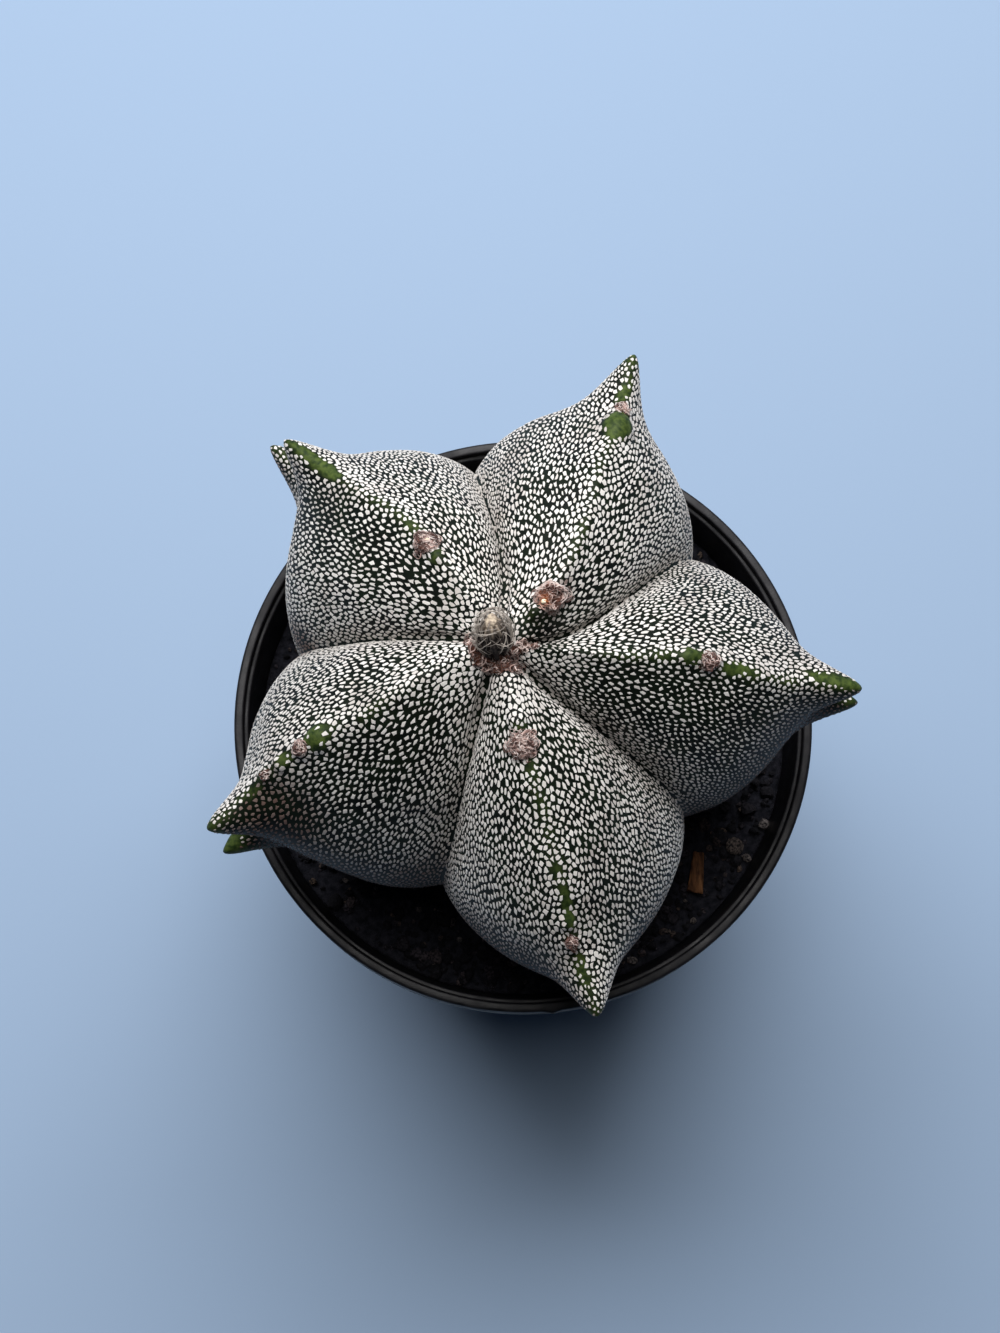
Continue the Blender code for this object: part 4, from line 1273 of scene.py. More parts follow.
def felt_pad(cushion):
    """A cushion's felt, as a closed form."""
    turn = np.arange(FELT_SPOKES) * math.tau / FELT_SPOKES
    share = np.array((0.0,) + FELT_RINGS + (FELT_RINGS[-1], 0.0))[:, None]
    spots = share[..., None] * np.stack((np.cos(turn), np.sin(turn)), axis=-1)
    lumps = 1.0
    levels = np.full((*spots.shape[:2], 1), cushion.depth)
    places = np.concatenate((spots * cushion.along, levels), axis=-1)
    for size, height in FELT_LUMPS:
        found = np.array([noise.noise(Vector(place) / size) for place in places.reshape(-1, 3)])
        lumps = lumps + 2.0 * height * found.reshape(spots.shape[:2])
    lift = cushion.height * cushion_profile(share, cushion.crater) * lumps
    lift[-3] = 0.0
    lift[-2:] = FELT_ROOT
    lift[0] = lift[0].mean()
    return cushion_points(cushion, FELT_REACH * spots, lift)


def curls(rng, count, points, stride):
    """Paths that curl about on a disc whose radius is 1. Some reach past its edge."""
    turn = rng.random(count) * math.tau
    spot = np.sqrt(rng.random(count))[:, None] * np.stack((np.cos(turn), np.sin(turn)), axis=-1)
    heading = rng.random(count) * math.tau
    curl = rng.normal(0.0, CURL_WANDER, count)
    limit = rng.uniform(*CURL_LIMITS, count)
    path = [spot]
    for _ in range(points - 1):
        heading = heading + curl + rng.normal(0.0, CURL_UNREST, count)
        spot = spot + stride * np.stack((np.cos(heading), np.sin(heading)), axis=-1)
        spot = spot / np.maximum(1.0, np.linalg.norm(spot, axis=-1) / limit)[:, None]
        path.append(spot)
    return np.stack(path, axis=1)


def hairs(paths, thickness):
    """Hairs as closed three-sided tubes along their paths, thinner at both ends."""
    count, steps = paths.shape[:2]
    along = unit(np.gradient(paths, axis=1) + 1e-9)
    first = unit(np.cross(along[:, 0], NO_HAIRS_WAY))
    fullness = np.sin(np.pi * np.linspace(*HAIR_SPAN, steps)) ** HAIR_FULLNESS
    taper = HAIR_END + (1.0 - HAIR_END) * fullness
    corners = []
    for k in range(steps):
        first = unit(first - along_rows(first, along[:, k]) * along[:, k])
        second = np.cross(along[:, k], first)
        for turn in np.arange(HAIR_SIDES) * math.tau / HAIR_SIDES:
            radius = (thickness * taper[k])[:, None]
            corners.append(paths[:, k] + (first * math.cos(turn) + second * math.sin(turn)) * radius)
    points = np.stack(corners, axis=1)
    n = HAIR_SIDES
    ring = np.arange(steps - 1)[:, None] * n
    here, there = np.arange(n), (np.arange(n) + 1) % n
    walls = np.stack((ring + here, ring + there, ring + n + there, ring + n + here), axis=-1).reshape(-1, 4)
    ends = np.array(((2, 1, 0), (0, 1, 2))) + np.array(((0,), (n * (steps - 1),)))
    start = np.arange(count)[:, None, None] * n * steps
    faces = (walls + start).reshape(-1, 4).tolist() + (ends + start).reshape(-1, 3).tolist()
    return points.reshape(-1, 3), faces


def ramped(tree, share, stops):
    """Colours that follow each other as a share goes from 0 to 1, each given with its share."""
    ramp = add(tree, "ShaderNodeValToRGB", {"Fac": share})
    while len(ramp.color_ramp.elements) < len(stops):
        ramp.color_ramp.elements.new(1.0)
    for element, (position, colour) in zip(ramp.color_ramp.elements, stops):
        element.position = position
        element.color = screen_colour(*colour)
    return ramp.outputs["Color"]


def matted_hair():
    """Old hair: red-brown where it is matted, pale and pinkish at its tips, amber round the scar."""
    finish, tree, shader = new_finish("matted_hair", 0.9, specular=0.2)
    shader.inputs["Sheen Weight"].default_value = 0.3
    tone = add(tree, "ShaderNodeAttribute", attribute_name="tone").outputs["Fac"]
    amber = add(tree, "ShaderNodeAttribute", attribute_name="amber").outputs["Fac"]
    stops = ((0.0, (40, 24, 20)), (0.3, (112, 72, 60)), (0.6, (192, 158, 148)), (1.0, (244, 230, 222)))
    tinted = blended(tree, amber, ramped(tree, tone, stops), screen_colour(196, 112, 58))
    tree.links.new(tinted, shader.inputs["Base Color"])
    return finish


def two_tones(rng, pale, palest_brown=PALEST_BROWN):
    """Each hair's tone: pale or brown, as likely as its share says."""
    light = rng.uniform(*PALE_TONES, len(pale))
    brown = rng.uniform(DARKEST_BROWN, palest_brown, len(pale))
    return np.where(rng.random(len(pale)) < pale, light, brown)


def grown_cushion(cushion, rng):
    """A cushion's felt and curls, with the tone and the amber at each of their points."""
    felt_points, felt_faces = closed_shape(felt_pad(cushion))
    paths = curls(rng, cushion.hairs, CURL_POINTS, CURL_STEP / cushion.along)
    share = np.linalg.norm(paths, axis=-1)
    arch = rng.uniform(*CURL_ARCH, cushion.hairs)
    hump = np.sin(np.pi * np.linspace(0.0, 1.0, CURL_POINTS)) * arch[:, None]
    lift = cushion.height * cushion_profile(share, cushion.crater) + hump + CURL_LIFT
    spread = cushion_points(cushion, paths, lift)
    middles = spread[:, CURL_POINTS // 2]
    patches = np.array([noise.noise(Vector(point) / PALE_PATCH_SIZE) for point in middles])
    pale = cushion.pale + PALE_PATCHES * patches + PALE_ARCHES * (arch - MEAN_ARCH)
    if cushion.crater:
        scar = cushion_points(cushion, np.array((SCAR,)), np.full(1, SCAR_LIFT))[0]
        clear = np.linalg.norm(spread - scar, axis=-1).min(axis=1) > SCAR_CLEAR
        pale = pale - DARK_FLOOR * (1.0 - smooth_step(*DARK_FLOOR_ENDS, share.mean(axis=1)))
        spread, pale = spread[clear], pale[clear]
    curled = hairs(spread, rng.uniform(*CURL_THICKNESS, len(spread)))
    tone = np.repeat(two_tones(rng, pale), CURL_POINTS * HAIR_SIDES)
    tone = np.concatenate((rng.uniform(*FELT_TONES, len(felt_points)), tone))
    points, faces = joined(((felt_points, felt_faces), curled))
    amber = np.zeros(len(points))
    if cushion.crater:
        amber = AMBER * np.exp(-((np.linalg.norm(points - scar, axis=-1) / AMBER_REACH) ** 2))
    return (points, faces), tone, amber


wool = matted_hair()
cushion_rng = np.random.default_rng(CUSHION_SEED)
grown = [grown_cushion(cushion, cushion_rng) for cushion in CUSHIONS]
areoles = new_piece("areoles", *joined([shape for shape, tone, amber in grown]), wool)
keep_values(areoles, "tone", np.concatenate([tone for shape, tone, amber in grown]))
keep_values(areoles, "amber", np.concatenate([amber for shape, tone, amber in grown]))
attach(areoles, "root")


def ball(divisions):
    """The points and faces of a round ball of triangles, one across from its middle."""
    bm = bmesh.new()
    bmesh.ops.create_icosphere(bm, subdivisions=divisions, radius=1.0)
    points = np.array([vertex.co for vertex in bm.verts])
    faces = np.array([[vertex.index for vertex in face.verts] for face in bm.faces])
    bm.free()
    return points, faces


def lump(centre, radii, divisions=3, rough=0.12):
    """A knobbly ball."""
    points, faces = ball(divisions)
    found = [noise.noise(Vector(point) * KNOBBLE_CROWDING) for point in points]
    swell = 1.0 + 2.0 * rough * np.array(found)
    return points * swell[:, None] * radii + centre, faces.tolist()


def cream_scar():
    """The dry cream stub that a dropped flower leaves."""
    finish, tree, shader = new_finish("cream_scar", 0.75, specular=0.3)
    spot = place_in(tree)
    cream = blended(tree, cloud(tree, spot, 0.3), screen_colour(250, 226, 184), screen_colour(255, 246, 226))
    tree.links.new(cream, shader.inputs["Base Color"])
    return finish


def scar_on(rib, spot, lift, size):
    """A scar on the first cushion of a rib, a little longer than it is wide and high."""
    cushion = next(cushion for cushion in CUSHIONS if cushion.rib == rib)
    (place,) = cushion_points(cushion, np.array((spot,)), np.array((lift,)))
    return lump(place, tuple(part * size for part in SCAR_SHAPE))


large_scar = scar_on(NORTH, SCAR, SCAR_LIFT, SCAR_SIZE)
small_scar = scar_on(NORTH_WEST, SMALL_SCAR, SMALL_SCAR_LIFT, SMALL_SCAR_SIZE)
scar = new_piece("flower_scar", *joined((large_scar, small_scar)), cream_scar())
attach(scar, "root")


# Crown wool. Older brown hair lies matted round the foot of the dead flower, thickest on the near side.
# It is felted to the skin between the ribs' upper ends.
CROWN_SEED = 12
CROWN_AMBER = 0.06
TUFT_RINGS = (0.0, 0.25, 0.5, 0.72, 0.9, 1.0, 1.0, 0.0)
TUFT_SPOKES = 20
TUFT_RAGGED = 0.5
TUFT_ROOT = -0.25
TUFT_TONES = (0.0, 0.1)
TUFT_CURL_STEP = 0.36
TUFT_CURL_REACH = 1.2
TUFT_CURL_ARCH = (0.05, 0.6)
TUFT_CURL_LIFT = 0.03
TUFT_CURL_THICKNESS = (0.05, 0.09)
TUFT_PATCH_SIZE = 0.6
TUFT_PALEST_BROWN = 0.22
# Tufts: place, radius and height in millimetres, what share is pale, and how many hairs
CROWN_TUFTS = (
    (-6.4, 2.4, 0.6, 0.2, 0.60, 16),
    (-5.8, 1.4, 0.7, 0.25, 0.50, 18),
    (-5.3, 0.1, 0.7, 0.3, 0.25, 20),
    (-4.4, -0.4, 0.7, 0.35, 0.22, 24),
    (-3.4, -0.5, 0.7, 0.35, 0.25, 24),
    (-2.6, 0.2, 0.8, 0.4, 0.50, 30),
    (-1.4, 1.2, 0.7, 0.3, 0.60, 24),
    (-0.3, 1.7, 0.7, 0.25, 0.60, 20),
    (0.8, 1.9, 0.55, 0.2, 0.60, 16),
    (-1.7, -0.4, 0.6, 0.3, 0.30, 18),
    (-0.9, -0.8, 0.55, 0.3, 0.50, 16),
)


def on_crown(places, lift):
    """Points over the crown's skin at places given across it, lifted off it."""
    points = []
    for (x, y), rise in zip(places.reshape(-1, 2), np.ravel(lift)):
        place, _, _, _ = skin_hull.ray_cast(Vector((x, y, 2.0 * pot_height)), Vector((0.0, 0.0, -1.0)))
        points.append(place + Vector((0.0, 0.0, rise)))
    return np.array(points).reshape(*places.shape[:-1], 3)


def crown_tuft(x, y, radius, height, pale, count, rng):
    """A tuft's felt and its curls, with their tone."""
    turn = np.arange(TUFT_SPOKES) * math.tau / TUFT_SPOKES
    share = np.array(TUFT_RINGS)[:, None]
    spots = share[..., None] * np.stack((np.cos(turn), np.sin(turn)), axis=-1)
    found = [noise.noise(Vector((a + x, b + y, 3.0))) for a, b in spots.reshape(-1, 2)]
    ragged = 1.0 + TUFT_RAGGED * np.array(found).reshape(spots.shape[:2])
    lift = height * cushion_profile(share, False) * ragged
    lift[-2:] = TUFT_ROOT
    lift[0] = lift[0].mean()
    felt_points, felt_faces = closed_shape(on_crown(spots * radius + (x, y), lift))
    paths = curls(rng, count, CURL_POINTS, TUFT_CURL_STEP) * TUFT_CURL_REACH
    arch = rng.uniform(*TUFT_CURL_ARCH, count)
    hump = np.sin(np.pi * np.linspace(0.0, 1.0, CURL_POINTS)) * arch[:, None]
    lift = height * cushion_profile(np.linalg.norm(paths, axis=-1), False) + hump + TUFT_CURL_LIFT
    spread = on_crown(paths * radius + (x, y), lift)
    curled = hairs(spread, rng.uniform(*TUFT_CURL_THICKNESS, count))
    middles = spread[:, CURL_POINTS // 2]
    patches = np.array([noise.noise(Vector(point) / TUFT_PATCH_SIZE) for point in middles])
    tone = np.repeat(two_tones(rng, pale + patches, TUFT_PALEST_BROWN), CURL_POINTS * HAIR_SIDES)
    felt_tone = rng.uniform(*TUFT_TONES, len(felt_points))
    return joined(((felt_points, felt_faces), curled)), np.concatenate((felt_tone, tone))


crown_rng = np.random.default_rng(CROWN_SEED)
tufts = [crown_tuft(*tuft, crown_rng) for tuft in CROWN_TUFTS]
crown_wool = new_piece("crown_wool", *joined([shape for shape, tone in tufts]), wool)
keep_values(crown_wool, "tone", np.concatenate([tone for shape, tone in tufts]))
keep_values(crown_wool, "amber", np.full(len(crown_wool.data.vertices), CROWN_AMBER))
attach(crown_wool, "root")


# Dried flower. What is left of one flower: a shrivelled cup of papery petals, pleated and grey, closed
# over the cream stub of its style and caged in the pale hairs of its bud. It leans away from the near side.
FLOWER_SEED = 31
FLOWER_FOOT = np.array((-3.5, 1.3, 107.4))
FLOWER_LEAN = np.array((-0.4, 2.5, 4.9))
CUP_OUTLINE = ((0.0, 1.15), (0.12, 1.45), (0.4, 1.68), (0.7, 1.36), (0.88, 0.95), (0.96, 0.6), (1.0, 0.25))
CUP_PLEATS = 9
PLEAT_DEPTH = 0.2
PLEAT_TWIST = 1.6
CUP_CRUMPLE = 0.16
CRUMPLES_ROUND = 3.0
CRUMPLES_UP = 4.0
CUP_ROWS = 26
CUP_COLUMNS = 72
CUP_PALE_FROM = (0.66, 0.92)
STUB_PLACE = 0.94
STUB_RADII = (0.7, 0.8, 0.5)
STUB_ROUGH = 0.3
# The cage of hairs round the cup: its points and steps, how far up and down they may run, how they spread
# at the cup's two sides, how near its foot they hold to it, and the room under the solid's top
CAGE_POINTS = 13
CAGE_STEP = 0.27
CAGE_LIMITS = (-0.02, 0.98)
CAGE_SIDES = 0.5
CAGE_FOOT = 0.15
CAGE_GAP = 0.05
CAGE_CURL = 0.18
CAGE_UNREST = 0.3
CAGE_NARROWEST = 0.6
CAGE_UNDER_TOP = 0.1
# Hairs of the cage: how many, how unruly, how far up the cup they start, whether they run up or down, what
# share is at its two sides, how far they stand off it, how far they bow back to it, their thickness, and
# how pale they are
CAGE_KINDS = (
    (40, 0.5, (0.0, 0.6), 1.0, 0.2, (0.03, 0.2), 0.95, (0.03, 0.05), (0.0, 0.5)),
    (34, 0.2, (0.0, 0.35), 1.0, 1.0, (0.3, 0.8), 0.6, (0.04, 0.075), (0.6, 1.0)),
    (44, 0.35, (0.2, 0.75), 1.0, 0.9, (0.7, 1.5), 0.5, (0.03, 0.05), (0.3, 0.9)),
    (16, 0.22, (0.85, 0.97), -1.0, 0.4, (0.02, 0.15), 0.95, (0.03, 0.05), (0.1, 0.6)),
)

flower_axis = unit(FLOWER_LEAN)
flower_east = unit(np.cross((0.0, 1.0, 0.0), flower_axis))
flower_north = np.cross(flower_axis, flower_east)
flower_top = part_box("dried_flower")[1].z / MM


def round_flower(share, turn, reach):
    """Points round the flower's axis: how far up it, in which direction and how far from it."""
    ring = np.cos(turn)[..., None] * flower_east + np.sin(turn)[..., None] * flower_north
    return FLOWER_FOOT + share[..., None] * FLOWER_LEAN + ring * reach[..., None]


def cup_radius(share):
    """How wide the cup is, from its foot at 0 to its tip at 1."""
    heights, radii = zip(*CUP_OUTLINE)
    return np.interp(share, heights, radii)


def rows_and_turns(count, around):
    """A grid for a closed form: the share along it, with both ends twice, and the turn round it."""
    share = np.concatenate(((0.0,), np.linspace(0.0, 1.0, count), (1.0,)))
    turn = np.arange(around) * math.tau / around
    return np.meshgrid(share, turn, indexing="ij")


def papery_cup():
    """The closed cup, its petals folded in pleats."""
    share, turn = rows_and_turns(CUP_ROWS, CUP_COLUMNS)
    folds = np.cos(CUP_PLEATS * turn + PLEAT_TWIST * share)
    ring = ((CRUMPLES_ROUND * math.cos(angle), CRUMPLES_ROUND * math.sin(angle)) for angle in turn.ravel())
    found = [noise.noise(Vector((x, y, CRUMPLES_UP * up))) for (x, y), up in zip(ring, share.ravel())]
    crumple = np.array(found).reshape(turn.shape)
    reach = cup_radius(share) * (1.0 + PLEAT_DEPTH * folds + CUP_CRUMPLE * crumple)
    reach[0] = reach[-1] = 0.0
    return round_flower(share, turn, reach)


def caged_hairs(rng, count, unruly, starts, upward, at_sides, standing, bowed, thickness, pale):
    """Hairs of one kind that wander up or down the cup, with their tones."""
    share, turn = rng.uniform(*starts, count), rng.random(count) * math.tau
    sideways = rng.normal(0.0, CAGE_SIDES, count) + math.pi * rng.integers(0, 2, count)
    turn = np.where(rng.random(count) < at_sides, sideways, turn)
    heading = rng.normal(0.0, unruly, count)
    curl = rng.normal(0.0, CAGE_CURL * unruly, count)
    off = rng.uniform(*standing, count)
    path = []
    for bow in CAGE_FOOT + (1.0 - CAGE_FOOT) * np.sin(np.pi * np.linspace(0.0, bowed, CAGE_POINTS)):
        path.append(round_flower(share, turn, cup_radius(share) + CAGE_GAP + off * bow))
        heading = heading + curl + rng.normal(0.0, CAGE_UNREST * unruly, count)
        climb = upward * CAGE_STEP * np.cos(heading) / np.linalg.norm(FLOWER_LEAN)
        share = np.clip(share + climb, *CAGE_LIMITS)
        turn = turn + CAGE_STEP * np.sin(heading) / np.maximum(cup_radius(share), CAGE_NARROWEST)
    paths = np.stack(path, axis=1)
    paths[..., 2] = np.minimum(paths[..., 2], flower_top - CAGE_UNDER_TOP)
    shape = hairs(paths, rng.uniform(*thickness, count))
    return shape, np.repeat(rng.uniform(*pale, count), CAGE_POINTS * HAIR_SIDES)


def papery_petals():
    """Shrivelled petals: dark grey-brown, streaked along their folds and cream where they close."""
    finish, tree, shader = new_finish("papery_petals", 0.7, specular=0.3)
    spot = place_in(tree, (1.0, 1.0, 0.3))
    pale = add(tree, "ShaderNodeAttribute", attribute_name="pale").outputs["Fac"]
    grey = blended(tree, cloud(tree, spot, 0.35), screen_colour(24, 20, 20), screen_colour(80, 72, 68))
    tree.links.new(blended(tree, pale, grey, screen_colour(176, 160, 142)), shader.inputs["Base Color"])
    raise_surface(tree, shader, cloud(tree, spot, 0.16), 0.05)
    return finish


def bud_hair():
    """Dry bud hair, pale grey with a little cream."""
    finish, tree, shader = new_finish("bud_hair", 0.85, specular=0.25)
    tone = add(tree, "ShaderNodeAttribute", attribute_name="tone").outputs["Fac"]
    straw = blended(tree, tone, screen_colour(84, 74, 69), screen_colour(212, 202, 190))
    tree.links.new(straw, shader.inputs["Base Color"])
    return finish


def dry_style():
    """The dried style, dull cream with grey streaks."""
    finish, tree, shader = new_finish("dry_style", 0.85, specular=0.2)
    spot = place_in(tree)
    dull = blended(tree, cloud(tree, spot, 0.3), screen_colour(140, 126, 114), screen_colour(206, 190, 166))
    tree.links.new(dull, shader.inputs["Base Color"])
    return finish


cup = new_piece("flower_cup", *closed_shape(papery_cup()), papery_petals())
cup_share = np.concatenate((np.repeat(np.linspace(0.0, 1.0, CUP_ROWS), CUP_COLUMNS), (0.0, 1.0)))
keep_values(cup, "pale", smooth_step(*CUP_PALE_FROM, cup_share))
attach(cup, "root")
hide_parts("dried_flower")
flower_rng = np.random.default_rng(FLOWER_SEED)
caged = [caged_hairs(flower_rng, *kind) for kind in CAGE_KINDS]
cage = new_piece("flower_hairs", *joined([shape for shape, tone in caged]), bud_hair())
keep_values(cage, "tone", np.concatenate([tone for shape, tone in caged]))
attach(cage, "root")
knob = lump(FLOWER_FOOT + STUB_PLACE * FLOWER_LEAN, STUB_RADII, rough=STUB_ROUGH)
stub = new_piece("flower_stub", *knob, dry_style())
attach(stub, "root")


# Mix. Dark gritty compost poured in round the stem: a crumbly bed of damp peat that has settled 9 mm under
# the rim. It touches the stem and the pot's wall.
SOIL_DROP = 9.0
MIX_RINGS = 22
MIX_CRUMBS = ((2.6, 0.55), (0.9, 0.40), (0.35, 0.14))
MIX_FROM_STEM = 0.05
MIX_FROM_WALL = 0.05
MIX_FOOT_FILLET = 1.2
MIX_FLOOR_GAP = 0.3

soil_level = pot_height - SOIL_DROP


def mix_height(x, y):
    """How far the crumbs stand above or below the mix's level."""
    return sum(height * noise.noise(Vector((x, y, 7.0)) / size) for size, height in MIX_CRUMBS)


def mix_grid():
    """The bed of mix as one closed grid: the stem's hollow, the crumbly top, the side and the underside."""
    wall = level(np.arctan2(skin[soil_row, :, 1], skin[soil_row, :, 0]))
    away = level(np.arctan2(outward[soil_row, :, 1], outward[soil_row, :, 0]))
    edge = skin[soil_row] + away * MIX_FROM_STEM
    hollow = (skin + outward * MIX_FROM_STEM)[:soil_row:-1]
    hollow[0] = hollow[0].mean(axis=0)
    rings = list(hollow)
    rim = wall * (pot_inner_radius(soil_level) - MIX_FROM_WALL)
    for ring in range(MIX_RINGS + 1):
        share = ring / MIX_RINGS
        line = edge * (1.0 - share) + rim * share
        for point in line:
            point[2] = soil_level + mix_height(point[0], point[1])
        rings.append(line)
    bottom = RECESS_DEPTH + FLOOR_THICKNESS + MIX_FLOOR_GAP
    for height, fillet in ((bottom + MIX_FOOT_FILLET, 0.0), (bottom, MIX_FOOT_FILLET)):
        line = wall * (pot_inner_radius(height) - MIX_FROM_WALL - fillet)
        line[:, 2] = height
        rings.append(line)
    centre = np.zeros((columns, 3))
    centre[:, 2] = bottom
    rings.append(centre)
    return np.array(rings)


def dark_mix():
    """Damp peat, nearly black, with browner crumbs."""
    finish, tree, shader = new_finish("peat_and_grit", 0.95, specular=0.2)
    spot = place_in(tree)
    black, brown = screen_colour(20, 22, 29), screen_colour(46, 46, 54)
    crumbs = blended(tree, cloud(tree, spot, 0.8, detail=6.0), black, brown)
    tree.links.new(crumbs, shader.inputs["Base Color"])
    raise_surface(tree, shader, cloud(tree, spot, 0.25, detail=6.0, low=0.2, high=0.8), 0.12)
    return finish


bed = new_piece("potting_mix", *closed_shape(mix_grid()), dark_mix())
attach(bed, "root")
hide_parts("soil")


# Bark. One sliver of pine bark came up out of the compost and lies on it beside the stem. It is
# orange-brown, split along its grain and broken off unevenly at both ends.
CHIP_CENTRE = (22.9, -18.9)
CHIP_SIZE = (2.2, 5.2, 0.9)
CHIP_TAPER = 0.62
CHIP_TURN = math.radians(-6.0)
CHIP_GAP = 0.3
CHIP_ROWS = 30
CHIP_COLUMNS = 40
CHIP_BLUNT = 0.45
# Ridges: their size, five times longer along the grain, and their height on the top. They show less at the
# sides, and more where the ends are broken off.
CHIP_RIDGES = ((0.9, 0.16), (0.35, 0.08))
CHIP_GRAIN = 0.2
CHIP_TOP = 0.1
CHIP_SIDE_RIDGES = 0.6
CHIP_END_RIDGES = 1.6
CHIP_END_SHARPNESS = 6


def bark_sliver():
    """The sliver as a closed form: tapered, ridged along its grain and broken off unevenly at its ends."""
    share, turn = rows_and_turns(CHIP_ROWS, CHIP_COLUMNS)
    blunt = np.stack((np.cos(turn), np.sin(turn)), axis=-1)
    blunt = np.sign(blunt) * np.abs(blunt) ** CHIP_BLUNT
    wide = 0.5 * CHIP_SIZE[0] * (1.0 + (CHIP_TAPER - 1.0) * share)
    x, z = blunt[..., 0] * wide, blunt[..., 1] * 0.5 * CHIP_SIZE[2]
    x[0], x[-1], z[0], z[-1] = 0.0, 0.0, 0.0, 0.0
    y = (share - 0.5) * CHIP_SIZE[1]
    for size, height in CHIP_RIDGES:
        ridge = np.array([noise.noise(Vector((a / size, b / size * CHIP_GRAIN, c / size)))
                          for a, b, c in zip(x.ravel(), y.ravel(), z.ravel())]).reshape(x.shape)
        z[1:-1] += (ridge * height * (z > CHIP_TOP))[1:-1]
        x[1:-1] += (ridge * height * CHIP_SIDE_RIDGES * np.sign(x))[1:-1]
        y += ridge * height * CHIP_END_RIDGES * np.abs(2.0 * share - 1.0) ** CHIP_END_SHARPNESS
    y[0], y[-1] = y[0].mean(), y[-1].mean()
    turned = np.stack((x * math.cos(CHIP_TURN) - y * math.sin(CHIP_TURN),
                       x * math.sin(CHIP_TURN) + y * math.cos(CHIP_TURN), z), axis=-1)
    lift = soil_level + CHIP_GAP + 0.5 * CHIP_SIZE[2]
    return turned[::-1] + (*CHIP_CENTRE, lift)


def pine_bark():
    """Pine bark: orange-brown, with dark streaks along its grain."""
    finish, tree, shader = new_finish("pine_bark", 0.85, specular=0.25)
    spot = place_in(tree, (1.0, 0.25, 1.0))
    streaks = cloud(tree, spot, 0.5, detail=5.0)
    worn = blended(tree, cloud(tree, spot, 1.1), screen_colour(126, 82, 52), screen_colour(164, 116, 78))
    tree.links.new(blended(tree, streaks, screen_colour(70, 44, 30), worn), shader.inputs["Base Color"])
    raise_surface(tree, shader, streaks, 0.08)
    return finish


chip = new_piece("bark_sliver", *closed_shape(bark_sliver()), pine_bark())
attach(chip, "root")
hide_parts("bark_chip")


# Grains. Lava, pumice and grit that the mix holds have washed out of it and lie loose, sunk a little into
# the peat and clear of the sliver of bark. They are broken stones, from nearly black to tan.
GRAIN_SEED = 5
# Their kinds: how many, from what size to what size, and how many times the ball is divided that they are
# cut from. Most are near the smaller size.
GRAIN_KINDS = ((420, 0.75, 1.45, 2), (1500, 0.35, 0.75, 1))
MOSTLY_SMALL = 2
GRAIN_WIDTH = (0.65, 1.0)
GRAIN_HEIGHT = (0.5, 0.85)
GRAIN_FACETS = 5
FACET_REACH = (0.45, 0.75)
GRAIN_ROUGH = 0.03
GRAIN_SUNK = 0.3
GRAIN_FROM_WALL = 0.6
GRAIN_FROM_CHIP = 2.2
DARK_GRAINS = 1.6
# Where grains are heaped, each with its place and reach, and how likely they are elsewhere
HEAPED = ((17.0, -29.0, 9.0), (-9.0, -33.0, 7.0), (-24.0, 22.0, 7.0))
NOT_HEAPED = 0.35


def grain_spots(rng, count):
    """Places for grains on the open mix, thicker where they are heaped."""
    stem_turn = np.arctan2(skin[soil_row, :, 1], skin[soil_row, :, 0]) % math.tau
    order = np.argsort(stem_turn)
    stem_reach = np.linalg.norm(skin[soil_row, :, :2], axis=-1)
    spots = []
    while len(spots) < count:
        turn = rng.random() * math.tau
        near = float(np.interp(turn, stem_turn[order], stem_reach[order], period=math.tau))
        far = pot_inner_radius(soil_level) - GRAIN_FROM_WALL
        reach = math.sqrt(near ** 2 + (far ** 2 - near ** 2) * rng.random())
        x, y = reach * math.cos(turn), reach * math.sin(turn)
        heaped = max(math.exp(-((x - a) ** 2 + (y - b) ** 2) / size ** 2) for a, b, size in HEAPED)
        on_chip = math.hypot(x - CHIP_CENTRE[0], y - CHIP_CENTRE[1]) < GRAIN_FROM_CHIP
        if rng.random() < NOT_HEAPED + (1.0 - NOT_HEAPED) * heaped and not on_chip:
            spots.append((x, y))
    return spots


def broken_grain(rng, round_points, size):
    """A grain about its own middle: a ball with facets knocked off it, turned any way up."""
    grain = round_points * (1.0, rng.uniform(*GRAIN_WIDTH), rng.uniform(*GRAIN_HEIGHT))
    for _ in range(GRAIN_FACETS):
        facet = unit(rng.normal(size=3))
        over = np.maximum(grain @ facet - rng.uniform(*FACET_REACH), 0.0)
        grain = grain - over[:, None] * facet
    grain = grain + rng.normal(0.0, GRAIN_ROUGH, grain.shape)
    turn = rng.random() * math.tau
    axis = Vector(rng.normal(size=3)).normalized()
    return grain @ np.array(Matrix.Rotation(turn, 3, axis)).T * size


def strewn_grains(rng):
    """All the loose grains as one shape, with the kind of stone at each of its points."""
    shapes, kinds = [], []
    for count, least, most, divisions in GRAIN_KINDS:
        round_points, round_faces = ball(divisions)
        for x, y in grain_spots(rng, count):
            size = least + (most - least) * rng.random() ** MOSTLY_SMALL
            grain = broken_grain(rng, round_points, size)
            lift = soil_level + mix_height(x, y) - grain[:, 2].min() * (1.0 - 2.0 * GRAIN_SUNK)
            shapes.append((grain + (x, y, lift), round_faces.tolist()))
            kinds.append(np.full(len(grain), rng.random() ** DARK_GRAINS))
    return joined(shapes), np.concatenate(kinds)


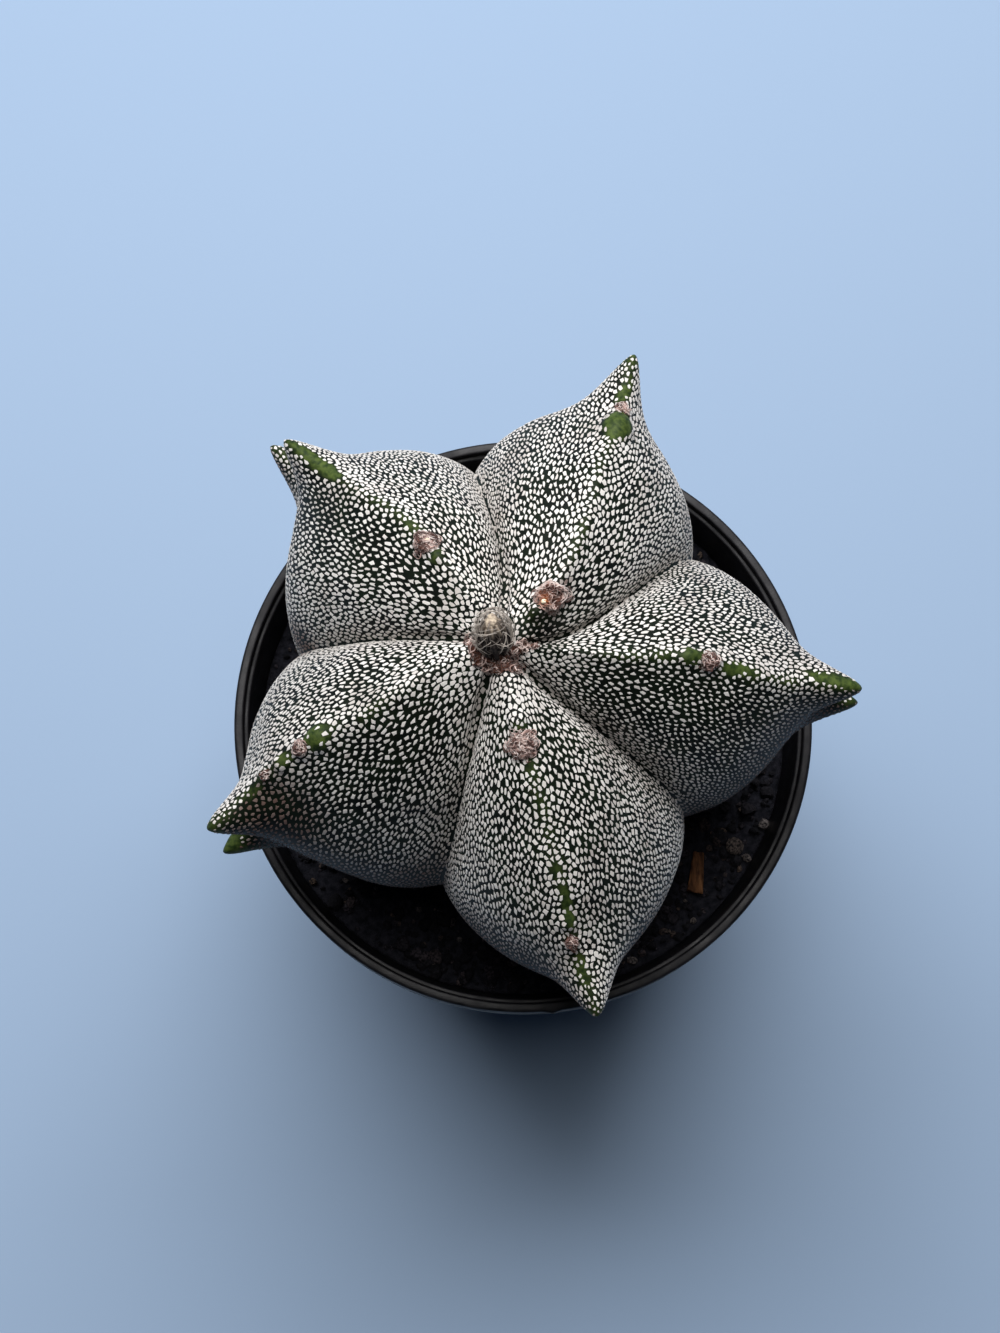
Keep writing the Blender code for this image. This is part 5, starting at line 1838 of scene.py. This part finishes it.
def grit():
    """Grains of lava and pumice, from nearly black to grey-lilac and tan."""
    finish, tree, shader = new_finish("lava_and_pumice", 0.9, specular=0.25)
    spot = place_in(tree)
    kind = add(tree, "ShaderNodeAttribute", attribute_name="kind").outputs["Fac"]
    stops = ((0.0, (22, 22, 28)), (0.45, (44, 42, 48)), (0.72, (78, 72, 80)), (0.9, (104, 88, 76)),
             (1.0, (138, 130, 128)))
    pits = cloud(tree, spot, 0.3, detail=4.0)
    pitted = blended(tree, pits, screen_colour(17, 18, 23), ramped(tree, kind, stops))
    tree.links.new(pitted, shader.inputs["Base Color"])
    raise_surface(tree, shader, cloud(tree, spot, 0.2, detail=4.0, low=0.2, high=0.8), 0.08)
    return finish


grain_shapes, grain_kinds = strewn_grains(np.random.default_rng(GRAIN_SEED))
grains = new_piece("loose_grains", *grain_shapes, grit(), smooth=False)
keep_values(grains, "kind", grain_kinds)
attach(grains, "root")


# Floor and light. A plain floor painted pale blue, the soft light of a broad window behind and above the
# plant, a weaker glow from straight above, and a little blue light from all round.
FLOOR_HALF = 3000.0
LIGHT_AIM = Vector((0.0, 0.0, 80.0)) * MM
WINDOW_PLACE = (-43.0, 303.0, 501.0)
WINDOW_SIZE = (600.0, 280.0)
WINDOW_POWER = 4.1
WINDOW_COLOUR = (0.99, 0.985, 1.0)
CEILING_PLACE = (0.0, 150.0, 960.0)
CEILING_SIZE = (420.0, 420.0)
CEILING_POWER = 2.1
CEILING_COLOUR = (1.0, 0.98, 0.96)
SKY_COLOUR = (0.45, 0.66, 1.0, 1.0)
SKY_STRENGTH = 0.02


def pale_paint():
    """Plain pale blue paint."""
    finish, _, shader = new_finish("pale_paint", 0.75, specular=0.3)
    shader.inputs["Base Color"].default_value = screen_colour(160, 184, 212)
    return finish


corners = [(x, y, 0.0) for x, y in ((-1, -1), (1, -1), (1, 1), (-1, 1))]
floor = new_piece("floor", np.array(corners) * FLOOR_HALF, [(0, 1, 2, 3)], pale_paint())


def soft_light(name, place, size, power, colour):
    """A broad light that faces the plant. Its place, its width and its height are in millimetres."""
    lamp = bpy.data.lights.new(name, "AREA")
    lamp.shape = "RECTANGLE"
    lamp.size, lamp.size_y = size[0] * MM, size[1] * MM
    lamp.energy = power
    lamp.color = colour
    holder = bpy.data.objects.new(name, lamp)
    holder.location = Vector(place) * MM
    towards = LIGHT_AIM - holder.location
    holder.rotation_euler = towards.to_track_quat("-Z", "Y").to_euler()
    bpy.context.scene.collection.objects.link(holder)


soft_light("window", WINDOW_PLACE, WINDOW_SIZE, WINDOW_POWER, WINDOW_COLOUR)
soft_light("ceiling", CEILING_PLACE, CEILING_SIZE, CEILING_POWER, CEILING_COLOUR)
room = bpy.data.worlds.new("room")
room.use_nodes = True
bpy.context.scene.world = room
sky = next(n for n in room.node_tree.nodes if n.type == "BACKGROUND")
sky.inputs["Color"].default_value = SKY_COLOUR
sky.inputs["Strength"].default_value = SKY_STRENGTH
bpy.context.scene.view_settings.view_transform = "Standard"
